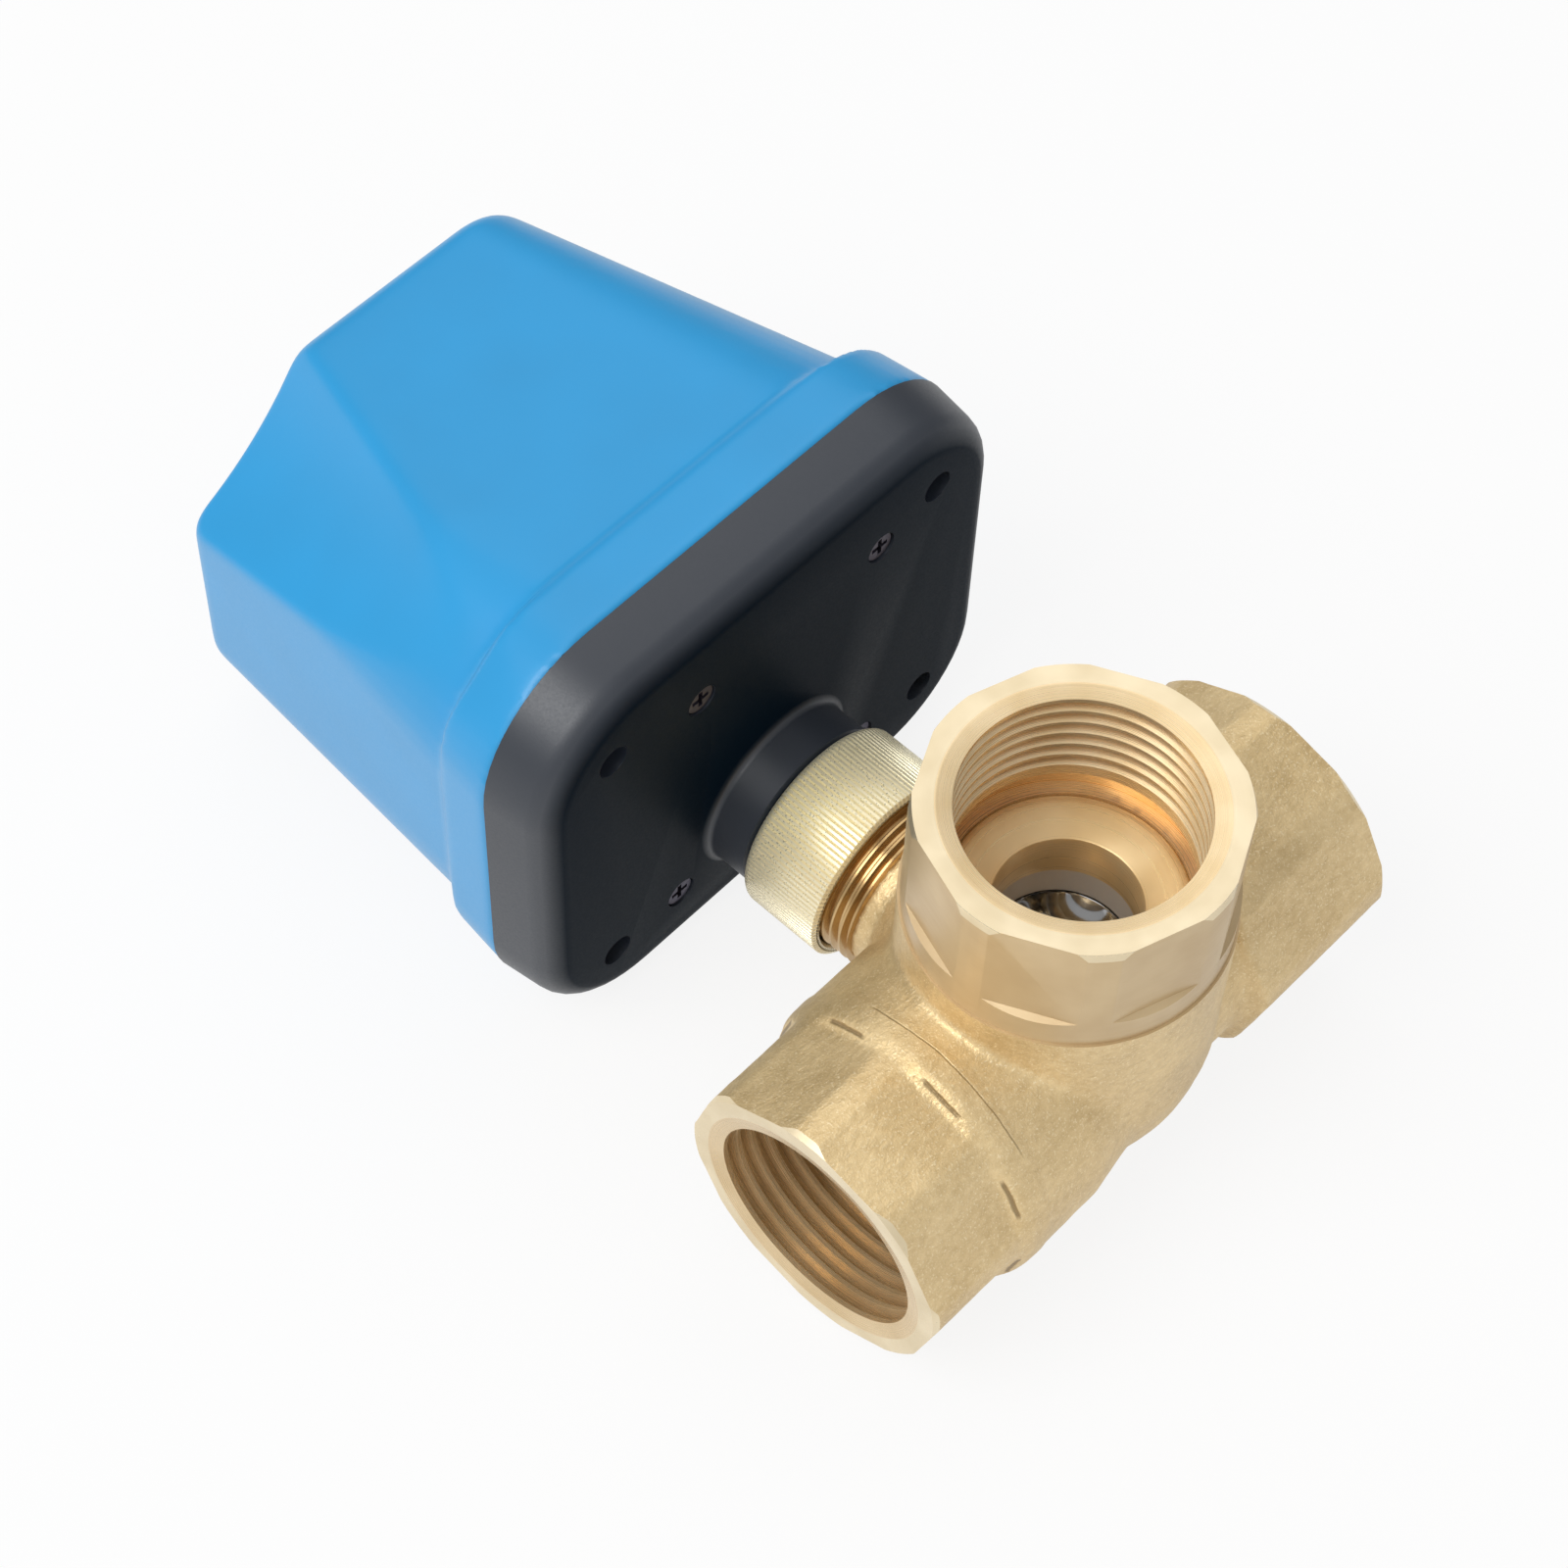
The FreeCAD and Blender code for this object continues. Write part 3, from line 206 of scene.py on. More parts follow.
def lathe(name, profile, axis, steps=LATHE_STEPS, turn=0.0, offset=(0, 0, 0)):
    """Spin a closed profile of (radius, distance) pairs, in millimetres, about one of the axes.
    Few steps give a prism: with eight, the flats face halfway between the corners. turn is in degrees."""
    centre, along, radial = AXES[axis]
    centre = centre + Vector(offset)
    radial = Matrix.Rotation(math.radians(turn), 3, along) @ radial
    points = [(centre + radial * r + along * d) * MM for r, d in profile]
    bpy.ops.object.select_all(action="DESELECT")
    bpy.ops.mesh.primitive_plane_add(size=MM)
    piece = bpy.context.object
    piece.name = name
    edit(piece)
    bpy.ops.mesh.merge(type="CENTER")
    bpy.ops.transform.translate(value=points[0])
    for here, there in zip(points, points[1:]):
        bpy.ops.mesh.extrude_vertices_move(TRANSFORM_OT_translate={"value": there - here})
    bpy.ops.mesh.select_all(action="SELECT")
    bpy.ops.mesh.edge_face_add()
    bpy.ops.mesh.delete(type="ONLY_FACE")
    bpy.ops.mesh.select_all(action="SELECT")
    bpy.ops.mesh.spin(steps=steps, angle=2 * math.pi, center=centre * MM, axis=along)
    bpy.ops.mesh.select_all(action="SELECT")
    bpy.ops.mesh.remove_doubles(threshold=MERGE)
    bpy.ops.mesh.normals_make_consistent(inside=False)
    leave()
    fix_place(piece)
    return piece


def half_circle(radius, step):
    """Profile of a sphere about the middle of its axis; step is in degrees."""
    angles = [math.radians(a) for a in range(0, 181, step)]
    return [(radius * math.sin(a), radius * math.cos(a)) for a in angles]


def combine(piece, tool, operation):
    """Join, cut or keep the common part of two closed pieces; the cut faces keep the tool's material."""
    modifier = piece.modifiers.new("combine", "BOOLEAN")
    modifier.object = tool
    modifier.operation = operation
    modifier.solver = "EXACT"
    modifier.material_mode = "TRANSFER"
    select_only(piece)
    bpy.ops.object.modifier_apply(modifier="combine")
    bpy.data.objects.remove(tool)
    return piece


def cut(piece, *tools):
    for tool in tools:
        combine(piece, tool, "DIFFERENCE")
    return piece


def weld(piece, *others):
    for other in others:
        combine(piece, other, "UNION")
    return piece


def remesh(piece, voxel_mm):
    """Turn the welded forms into one even skin."""
    modifier = piece.modifiers.new("skin", "REMESH")
    modifier.mode = "VOXEL"
    modifier.voxel_size = voxel_mm * MM
    select_only(piece)
    bpy.ops.object.modifier_apply(modifier="skin")


def flats_die(distance, turn, low, high, ramp, axis):
    """Ring with an eight-sided hole: cutting with it leaves the wrench flats, with a ramp at their low
    end."""
    corner = 1 / math.cos(math.pi / FLAT_COUNT)
    profile = [
        (distance * corner, low + ramp),
        (distance * corner, high),
        (DIE_R, high),
        (DIE_R, low),
        (distance * corner + 1.6, low),
    ]
    return lathe("die", profile, axis, FLAT_COUNT, turn + 180 / FLAT_COUNT)


def rod(low, high, radius, y=0.0, z=0.0, steps=48):
    """Round bar along the stem direction; y and z are measured from the stem line."""
    return lathe("rod", [(0, low), (radius, low), (radius, high), (0, high)], "out", steps, 0.0, (0, y, z))


def shade(piece, angle=30.0):
    select_only(piece)
    bpy.ops.object.shade_smooth_by_angle(angle=math.radians(angle))


def paint(piece, material):
    """Give the whole piece one material."""
    piece.data.materials.clear()
    piece.data.materials.append(material)
    return piece


def finish_piece(piece, body, nodes):
    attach(piece, body)
    if nodes:
        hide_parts(*nodes)
    return piece


# Materials


def new_material(name, color, roughness, metallic=0.0, **sockets):
    """A material with its plain values on the shader's own sockets. Returns the material, its nodes, its
    links and its shader."""
    material = bpy.data.materials.new(name)
    material.use_nodes = True
    nodes = material.node_tree.nodes
    links = material.node_tree.links
    shader = nodes["Principled BSDF"]
    shader.inputs["Base Color"].default_value = (*color, 1)
    shader.inputs["Roughness"].default_value = roughness
    shader.inputs["Metallic"].default_value = metallic
    for socket, value in sockets.items():
        shader.inputs[socket.replace("_", " ")].default_value = value
    return material, nodes, links, shader


def object_coordinates(nodes, links, scale=(1, 1, 1), place=(0, 0, 0), turn=(0, 0, 0)):
    coordinates = nodes.new("ShaderNodeTexCoord")
    mapping = nodes.new("ShaderNodeMapping")
    mapping.inputs["Scale"].default_value = scale
    mapping.inputs["Location"].default_value = place
    mapping.inputs["Rotation"].default_value = turn
    links.new(coordinates.outputs["Object"], mapping.inputs["Vector"])
    return mapping.outputs["Vector"]


def noise(nodes, links, vector, size_mm, detail=2.0, rough=0.5):
    texture = nodes.new("ShaderNodeTexNoise")
    texture.inputs["Scale"].default_value = 1 / (size_mm * MM)
    texture.inputs["Detail"].default_value = detail
    texture.inputs["Roughness"].default_value = rough
    links.new(vector, texture.inputs["Vector"])
    return texture.outputs["Fac"]


def spread(nodes, links, value, low, high, out_low, out_high):
    """Map a value from one range to another, held at the ends."""
    node = nodes.new("ShaderNodeMapRange")
    node.inputs["From Min"].default_value = low
    node.inputs["From Max"].default_value = high
    node.inputs["To Min"].default_value = out_low
    node.inputs["To Max"].default_value = out_high
    links.new(value, node.inputs["Value"])
    return node.outputs["Result"]


def blend_colors(nodes, links, factor, first, second):
    """Mix two colours; the first may be another node's output."""
    node = nodes.new("ShaderNodeMix")
    node.data_type = "RGBA"
    if isinstance(first, bpy.types.NodeSocket):
        links.new(first, node.inputs["A"])
    else:
        node.inputs["A"].default_value = (*first, 1)
    node.inputs["B"].default_value = (*second, 1)
    links.new(factor, node.inputs["Factor"])
    return node.outputs["Result"]


def bump(nodes, links, height, depth_mm, normal=None):
    node = nodes.new("ShaderNodeBump")
    node.inputs["Distance"].default_value = depth_mm * MM
    links.new(height, node.inputs["Height"])
    if normal is not None:
        links.new(normal, node.inputs["Normal"])
    return node.outputs["Normal"]


def math_node(nodes, links, operation, first, second=None):
    node = nodes.new("ShaderNodeMath")
    node.operation = operation
    for socket, value in zip(node.inputs, (first, second)):
        if isinstance(value, (int, float)):
            socket.default_value = value
        elif value is not None:
            links.new(value, socket)
    return node.outputs["Value"]


def casting_lines(nodes, links, drift):
    """Where the casting carries lines round the near port: its parting line, and a short dent at the
    inner end of each wrench flat."""
    split = nodes.new("ShaderNodeSeparateXYZ")
    links.new(object_coordinates(nodes, links, (1, 1, 1), (0, 0, -AXIS_Z * MM)), split.inputs["Vector"])
    angle = math_node(nodes, links, "ARCTAN2", split.outputs["X"], split.outputs["Z"])
    waver = spread(nodes, links, drift, 0, 1, -0.0005, 0.0005)
    along = math_node(nodes, links, "ADD", split.outputs["Y"], waver)

    def line_at(place, full, gone, strength):
        away = math_node(nodes, links, "ABSOLUTE", math_node(nodes, links, "ADD", along, place * MM))
        return spread(nodes, links, away, full * MM, gone * MM, strength, 0.0)

    dent = line_at(DENT_PLACE, 0.10, 0.28, 1.0)
    turns = math_node(nodes, links, "MULTIPLY", angle, FLAT_COUNT)
    turns = math_node(nodes, links, "SUBTRACT", turns, FLAT_COUNT * math.radians(DENT_TURN))
    short = spread(nodes, links, math_node(nodes, links, "COSINE", turns), 0.2, 0.5, 0.0, 1.0)
    seam = line_at(SEAM_PLACE, 0.05, 0.16, 0.6)
    middle = math_node(nodes, links, "SUBTRACT", angle, math.radians(SEAM_MIDDLE))
    part = spread(nodes, links, math_node(nodes, links, "COSINE", middle), 0.78, 0.83, 0.0, 1.0)
    dents = math_node(nodes, links, "MULTIPLY", dent, short)
    return math_node(nodes, links, "MAXIMUM", dents, math_node(nodes, links, "MULTIPLY", seam, part))


def cast_brass():
    """Blasted casting: fine grain with painted glints, small dents and a slow drift of tone, darker in the
    dents.
    """
    material, nodes, links, shader = new_material("cast_brass", (0.72, 0.55, 0.31), 0.42, 0.45)
    vector = object_coordinates(nodes, links)
    grain = noise(nodes, links, vector, 0.30, 2.0, 0.6)
    dents = noise(nodes, links, object_coordinates(nodes, links, (1.0, 0.6, 0.8)), 0.75, 3.0, 0.6)
    patches = noise(nodes, links, vector, 9.0, 3.0, 0.5)
    tone = math_node(nodes, links, "ADD", math_node(nodes, links, "MULTIPLY", dents, 0.8), patches)
    factor = spread(nodes, links, tone, 0.6, 1.2, 0.0, 1.0)
    color = blend_colors(nodes, links, factor, (0.64, 0.46, 0.22), (0.88, 0.68, 0.375))
    lines = casting_lines(nodes, links, patches)
    # Painted highlight: the brightest specks of the fine grain are painted pale, as glints.
    painted_glint = spread(nodes, links, grain, 0.57, 0.70, 0.0, 0.9)
    color = blend_colors(nodes, links, painted_glint, color, (0.96, 0.80, 0.52))
    color = blend_colors(nodes, links, lines, color, (0.34, 0.235, 0.11))
    links.new(color, shader.inputs["Base Color"])
    links.new(spread(nodes, links, patches, 0.3, 0.7, 0.36, 0.48), shader.inputs["Roughness"])
    normal = bump(nodes, links, dents, 0.14)
    normal = bump(nodes, links, grain, 0.06, normal)
    height = math_node(nodes, links, "SUBTRACT", 1.0, lines)
    links.new(bump(nodes, links, height, 0.15, normal), shader.inputs["Normal"])
    return material


def turned_brass(name, axis, color_low, color_high, roughness, line_mm, depth_mm, metallic):
    """Brass from the lathe: fine rings round the axis ('z', 'y' or 'x') and a soft cloudy tone."""
    middle = [(a + b) / 2 for a, b in zip(color_low, color_high)]
    material, nodes, links, shader = new_material(name, middle, roughness, metallic)
    place = (0, 0, 0) if axis == "z" else (0, 0, -AXIS_Z * MM)
    vector = object_coordinates(nodes, links, (1, 1, 1), place)
    split = nodes.new("ShaderNodeSeparateXYZ")
    links.new(vector, split.inputs["Vector"])
    across = {"z": ("X", "Y"), "y": ("X", "Z"), "x": ("Y", "Z")}[axis]
    squares = [math_node(nodes, links, "POWER", split.outputs[letter], 2.0) for letter in across]
    radius = math_node(nodes, links, "SQRT", math_node(nodes, links, "ADD", *squares))
    along = split.outputs[axis.upper()]
    lines = nodes.new("ShaderNodeCombineXYZ")
    links.new(radius, lines.inputs["X"])
    links.new(along, lines.inputs["Y"])
    rings = noise(nodes, links, lines.outputs["Vector"], line_mm, 2.0, 0.6)
    cloud = noise(nodes, links, vector, 7.0, 2.0, 0.5)
    factor = spread(nodes, links, cloud, 0.35, 0.65, 0.0, 1.0)
    links.new(blend_colors(nodes, links, factor, color_low, color_high), shader.inputs["Base Color"])
    uneven = spread(nodes, links, rings, 0.3, 0.7, roughness - 0.05, roughness + 0.06)
    links.new(uneven, shader.inputs["Roughness"])
    links.new(bump(nodes, links, rings, depth_mm), shader.inputs["Normal"])
    return material


def moulded(name, color, roughness, grain_mm=0.25, depth_mm=0.01, tint=0.04, **sockets):
    """Moulded plastic or rubber: a fine even grain and a slight drift of tone."""
    material, nodes, links, shader = new_material(name, color, roughness, **sockets)
    vector = object_coordinates(nodes, links)
    grain = noise(nodes, links, vector, grain_mm, 2.0, 0.5)
    cloud = noise(nodes, links, vector, 22.0, 2.0, 0.5)
    darker = [c * (1 - tint) for c in color]
    lighter = [min(1.0, c * (1 + tint)) for c in color]
    factor = spread(nodes, links, cloud, 0.35, 0.65, 0.0, 1.0)
    links.new(blend_colors(nodes, links, factor, darker, lighter), shader.inputs["Base Color"])
    uneven = spread(nodes, links, grain, 0.3, 0.7, roughness - 0.04, roughness + 0.04)
    links.new(uneven, shader.inputs["Roughness"])
    links.new(bump(nodes, links, grain, depth_mm), shader.inputs["Normal"])
    return material


def base_plastic():
    """Black moulded plastic: silky on the side band, matt on the face towards the valve, and that face
    painted darker as painted shade.
    """
    material = moulded("black_plastic", (0.016, 0.022, 0.032), 0.42, 0.3, 0.006, 0.1)
    nodes = material.node_tree.nodes
    links = material.node_tree.links
    shader = nodes["Principled BSDF"]
    geometry = nodes.new("ShaderNodeNewGeometry")
    split = nodes.new("ShaderNodeSeparateXYZ")
    links.new(geometry.outputs["Normal"], split.inputs["Vector"])
    # Painted shade: faces turned towards +X, away from the key lamp, get a darker copy of the black; the
    # same mask makes them matt.
    face = spread(nodes, links, split.outputs["X"], 0.6, 0.97, 0.0, 1.0)
    tone = blend_colors(nodes, links, face, (0.016, 0.022, 0.034), (0.003, 0.009, 0.018))
    links.new(tone, shader.inputs["Base Color"])
    links.new(spread(nodes, links, face, 0.0, 1.0, 0.8, 0.03), shader.inputs["Specular IOR Level"])
    return material


def worked_metal(name, color, roughness, streak=(1, 1, 12), size_mm=1.5, depth_mm=0.004):
    """Drawn, ground or polished metal with faint streaks."""
    material, nodes, links, shader = new_material(name, color, roughness, 1.0)
    vector = object_coordinates(nodes, links, streak)
    streaks = noise(nodes, links, vector, size_mm, 3.0, 0.6)
    darker = [c * 0.88 for c in color]
    links.new(blend_colors(nodes, links, streaks, darker, color), shader.inputs["Base Color"])
    uneven = spread(nodes, links, streaks, 0.3, 0.7, roughness * 0.8, roughness * 1.3)
    links.new(uneven, shader.inputs["Roughness"])
    links.new(bump(nodes, links, streaks, depth_mm), shader.inputs["Normal"])
    return material


CAST = cast_brass()
FACED = turned_brass("faced_brass", "z", (0.76, 0.63, 0.41), (0.86, 0.73, 0.50), 0.32, 0.3, 0.002, 0.7)
TURNED_UP = turned_brass(
    "turned_brass_branch", "z", (0.59, 0.43, 0.235), (0.65, 0.49, 0.28), 0.34, 0.3, 0.001, 0.35
)
TURNED_IN = turned_brass(
    "turned_brass_socket", "z", (0.80, 0.60, 0.33), (0.88, 0.69, 0.42), 0.27, 0.3, 0.002, 0.6
)
TURNED_RUN = turned_brass(
    "turned_brass_run", "y", (0.66, 0.49, 0.27), (0.74, 0.57, 0.34), 0.27, 0.3, 0.002, 0.6
)
RELIEF = turned_brass("relief_brass", "z", (0.84, 0.50, 0.20), (0.90, 0.58, 0.27), 0.25, 0.3, 0.001, 0.6)
# Painted shade: the neck's turned brass is painted darker than the other turned brass, for the shade under
# the nut and the actuator; the stem shares this material.
TURNED_OUT_SHADED = turned_brass(
    "turned_brass_neck_shaded", "x", (0.52, 0.34, 0.15), (0.62, 0.43, 0.21), 0.24, 0.3, 0.0005, 0.9
)
INSERT_BRASS = turned_brass(
    "turned_brass_insert", "z", (0.86, 0.62, 0.30), (0.93, 0.70, 0.37), 0.30, 0.3, 0.001, 0.4
)
CHROME = worked_metal("chrome", (0.60, 0.60, 0.60), 0.07, (1, 1, 1), 6.0, 0.001)
STEEL = worked_metal("steel", (0.55, 0.55, 0.56), 0.32)
SCREW_STEEL = worked_metal("screw_steel", (0.10, 0.095, 0.13), 0.5)
SEAT = moulded("ptfe", (0.66, 0.62, 0.55), 0.38)
BLACK = base_plastic()
BLUE = moulded(
    "blue_plastic", (0.008, 0.300, 0.640), 0.42, 0.35, 0.003, 0.03, Coat_Weight=0.35, Coat_Roughness=0.3
)
# Painted sheen: the nut's brass is painted paler than brass, standing in for the bright lamp reflections on
# its teeth.
NUT_BRASS_PAINTED_SHEEN = moulded("knurled_brass_painted_sheen", (0.98, 0.89, 0.64), 0.30, 0.3, 0.0005, 0.04, metallic=0.5)
RUBBER = moulded("black_rubber", (0.02, 0.02, 0.02), 0.6)
NYLON = moulded("gear_plastic", (0.72, 0.70, 0.64), 0.42)
SWITCH = moulded("switch_plastic", (0.02, 0.02, 0.023), 0.4)
BUTTON = moulded("button_plastic", (0.55, 0.03, 0.02), 0.4)
COIL = worked_metal("copper_coil", (0.50, 0.18, 0.07), 0.35, (8, 1, 1), 0.6, 0.05)
MAGNET = moulded("magnet", (0.05, 0.05, 0.053), 0.5)
BOARD = moulded("board", (0.012, 0.11, 0.035), 0.35, 0.6, 0.01, 0.15)
TERMINAL = moulded("terminal_plastic", (0.02, 0.20, 0.07), 0.42)
CAPACITOR = moulded("capacitor_case", (0.55, 0.33, 0.03), 0.38)

NODE_FINISHES = {
    "near_seat": SEAT,
    "far_seat": SEAT,
    "stem": TURNED_OUT_SHADED,
    "stem_o_rings": RUBBER,
    "thrust_washer": SEAT,
    "nut_snap_ring": STEEL,
    "cover_gasket": RUBBER,
    "output_bush": NYLON,
    "output_shaft": STEEL,
    "output_gear": NYLON,
    "switch_cam": NYLON,
    "idler_gear": NYLON,
    "idler_arbor": STEEL,
    "gear_plate": STEEL,
    "motor_flange": STEEL,
    "motor_can": STEEL,
    "motor_coil": COIL,
    "motor_rotor": MAGNET,
    "motor_shaft": STEEL,
    "motor_pinion": STEEL,
    "motor_screws": STEEL,
    "near_switch": SWITCH,
    "far_switch": SWITCH,
    "near_switch_button": BUTTON,
    "far_switch_button": BUTTON,
    "circuit_board": BOARD,
    "board_posts": NYLON,
    "terminal_block": TERMINAL,
    "capacitor": CAPACITOR,
    "cover_screws": SCREW_STEEL,
    "frame_screws": SCREW_STEEL,
    "cable_grommet": RUBBER,
    "branch_seat": SEAT,
}


# Brass body


def thread_cutter(mouth, inner, axis, material):
    """The threaded socket of one port and the plain bores behind it, as a cutting tool.
    inner is a list of (radius, distance) pairs that continue the profile from the undercut inwards."""
    crest = THREAD_PITCH * 0.12
    slope = THREAD_PITCH / 2 - crest
    profile = [(0, mouth + 2), (MOUTH_CHAMFER + 0.25, mouth + 2), (MOUTH_CHAMFER + 0.25, mouth)]
    profile += [(MOUTH_CHAMFER, mouth - 0.05), (THREAD_MINOR, mouth - 0.5)]
    for turn in range(THREAD_TURNS):
        middle = mouth - THREAD_START - THREAD_PITCH * (turn + 0.5)
        profile += [(THREAD_MINOR, middle + slope), (THREAD_MAJOR, middle + crest)]
        profile += [(THREAD_MAJOR, middle - crest), (THREAD_MINOR, middle - slope)]
    start = mouth - RELIEF_START
    end = mouth - RELIEF_END
    profile += [(THREAD_MINOR, start), (UNDERCUT_R, start - 0.4), (UNDERCUT_R, end)] + inner
    return paint(lathe("tool", profile, axis), material)


def outer_die(radius, low, high, axis, material):
    """Ring that turns the outside down to the radius."""
    return paint(lathe("die", [(radius, low), (radius, high), (DIE_R, high), (DIE_R, low)], axis), material)


def bevel_tool(radius, mouth, axis, width, height):
    """Ring that bevels the rim at a port's mouth; it leaves a bright edge like the face's."""
    slope = height / width
    low = mouth - height - 0.6 * slope
    profile = [
        (radius + 0.6, low),
        (radius - width - 0.2, mouth + 0.2 * slope),
        (radius - width - 0.2, mouth + 2),
        (36, mouth + 2),
        (36, low),
    ]
    return paint(lathe("bevel", profile, axis), FACED)


def facing_tool(high, axis):
    """Flat cut that faces off the end of a port."""
    return paint(lathe("facing", [(0, high), (30, high), (30, high + 3), (0, high + 3)], axis), FACED)


def near_casting():
    flats_end = NEAR_END - NEAR_FLAT_LENGTH
    return lathe("near_casting", [
        (0, -2), (NEAR_WAIST, -2), (NEAR_WAIST, 4), (NEAR_WAIST + 0.35, 7), (NEAR_BARREL - 0.15, 14),
        (NEAR_BARREL - 0.12, 23.9), (NEAR_BARREL + 0.05, 24.1), (NEAR_BARREL, flats_end - 1.2),
        (RUN_R, flats_end + 0.8), (RUN_R, NEAR_END + 1), (0, NEAR_END + 1),
    ], "near")


def far_casting():
    boss = FAR_END - FAR_FLAT_LENGTH
    return lathe("far_casting", [
        (0, -2), (FAR_NECK, -2), (FAR_NECK, boss - 1.8), (FAR_NECK + 0.5, boss - 1.0), (RUN_R - 0.4, boss),
        (RUN_R, boss + 0.5), (RUN_R, FAR_END + 1), (0, FAR_END + 1),
    ], "far")


def soften_joints(piece):
    """Fillets where the column meets the run pipe and where the neck leaves the body: the skin near
    both surfaces is smoothed, more the nearer it is to their crossing."""
    group = piece.vertex_groups.new(name="joints")
    reach = 2.6 * MM
    for vertex in piece.data.vertices:
        x, y, z = vertex.co
        z_axis = z - AXIS_Z * MM
        column = abs(math.hypot(x, y) - COLUMN_R * MM)
        run = abs(math.hypot(x, z_axis) - NEAR_BARREL * MM)
        neck = abs(math.hypot(y, z_axis) - NECK_R * MM)
        nearness = 1 - max(column, run) / reach
        if x < -14 * MM:
            nearness = max(nearness, 1 - max(neck, min(column, run)) / reach)
        if z < -21.5 * MM and nearness > 0:
            group.add([vertex.index], min(1.0, 1.4 * nearness), "REPLACE")
    smooth = piece.modifiers.new("fillet", "SMOOTH")
    smooth.factor = 0.5
    smooth.iterations = 26
    smooth.vertex_group = "joints"
    select_only(piece)
    bpy.ops.object.modifier_apply(modifier="fillet")
    piece.vertex_groups.clear()


def hammer_skin(piece):
    """Shallow dents of the casting, in the mesh itself."""
    texture = bpy.data.textures.new("skin", "CLOUDS")
    texture.noise_scale = 2.6 * MM
    texture.noise_depth = 1
    displace = piece.modifiers.new("dents", "DISPLACE")
    displace.texture = texture
    displace.strength = 0.11 * MM
    displace.mid_level = 0.5
    select_only(piece)
    bpy.ops.object.modifier_apply(modifier="dents")


def make_valve_body():
    """The casting is welded from its round forms, blasted smooth, and then cut on the machine."""
    casting = near_casting()
    flats_start = NEAR_END - NEAR_FLAT_LENGTH - 0.6
    cut(casting, flats_die(RUN_FLAT, RUN_FLAT_TURN, flats_start, NEAR_END + 2, 1.5, "near"))
    far = far_casting()
    cut(far, flats_die(RUN_FLAT, -RUN_FLAT_TURN, 10, FAR_END + 2, 0.5, "far"))
    column = lathe("column", [(0, AXIS_Z), (COLUMN_R, AXIS_Z), (COLUMN_R, 1), (0, 1)], "up")
    chamber = lathe("chamber", half_circle(CHAMBER_R, 6), "out")
    neck = lathe("neck", [(0, 8), (NECK_R, 8), (NECK_R, 19), (11.2, 21), (11.2, 24), (0, 24)], "out")
    weld(casting, far, column, chamber, neck)
    remesh(casting, CAST_VOXEL)
    soften_joints(casting)
    hammer_skin(casting)
    paint(casting, CAST)
    near_bore = [(PORT_BORE, NEAR_END - RELIEF_END), (PORT_BORE, 0), (0, 0)]
    far_bore = [(PORT_BORE, FAR_END - RELIEF_END), (PORT_BORE, 0), (0, 0)]
    tools = [
        thread_cutter(0, [(INSERT_R, -RELIEF_END), (INSERT_R, AXIS_Z), (0, AXIS_Z)], "up", TURNED_IN),
        paint(lathe("relief", [
            (15, -RELIEF_START - 0.3), (UNDERCUT_R, -RELIEF_START - 0.45), (16.95, -RELIEF_START - 0.6),
            (16.95, -RELIEF_END), (15, -RELIEF_END),
        ], "up"), RELIEF),
        thread_cutter(NEAR_END, near_bore, "near", TURNED_RUN),
        thread_cutter(FAR_END, far_bore, "far", TURNED_RUN),
        paint(lathe("chamber_tool", half_circle(CHAMBER_BORE, 9), "out"), TURNED_UP),
        outer_die(BRANCH_R, -BRANCH_TURNED, 1, "up", TURNED_UP),
        bevel_tool(BRANCH_R, 0, "up", 0.35, 1.1),
        paint(flats_die(BRANCH_FLAT, BRANCH_FLAT_TURN, -BRANCH_FLAT_LENGTH - 0.6, 2, 0.9, "up"), TURNED_UP),
        bevel_tool(RUN_R, NEAR_END, "near", 0.55, 0.7),
        bevel_tool(RUN_R, FAR_END, "far", 0.55, 0.7),
    ]
    cut(casting, facing_tool(0, "up"), facing_tool(NEAR_END, "near"), facing_tool(FAR_END, "far"), *tools)
    casting.name = "valve_casting"
    shade(casting, 32)
    return finish_piece(casting, "housing", ["valve_body"])


def make_threaded_neck():
    """Machined neck with its V grooves; it stands out of the casting and carries the union nut."""
    profile = [(4.6, 16), (10.9, 16), (10.9, NECK_THREAD)]
    for turn in range(NECK_GROOVES):
        base = NECK_THREAD + NECK_PITCH * turn
        profile += [(12.0, base + 0.15), (11.15, base + 0.6), (11.15, base + 0.9), (12.0, base + 1.35)]
    profile += [(11.5, NECK_END), (4.6, NECK_END)]
    neck = paint(lathe("threaded_neck", profile, "out"), TURNED_OUT_SHADED)
    shade(neck)
    return finish_piece(neck, "housing", ["valve_body"])


def make_insert():
    insert = paint(lathe("insert_ring", [
        (PORT_BORE, -29.0), (INSERT_R, -29.0), (INSERT_R, -21.3), (15.0, -21.05), (14.75, -20.85),
        (14.4, -20.8), (13.7, -20.95), (9.6, -21.95), (9.4, -22.05), (PORT_BORE, -22.4),
    ], "up"), INSERT_BRASS)
    shade(insert)
    return finish_piece(insert, "housing", ["branch_insert"])


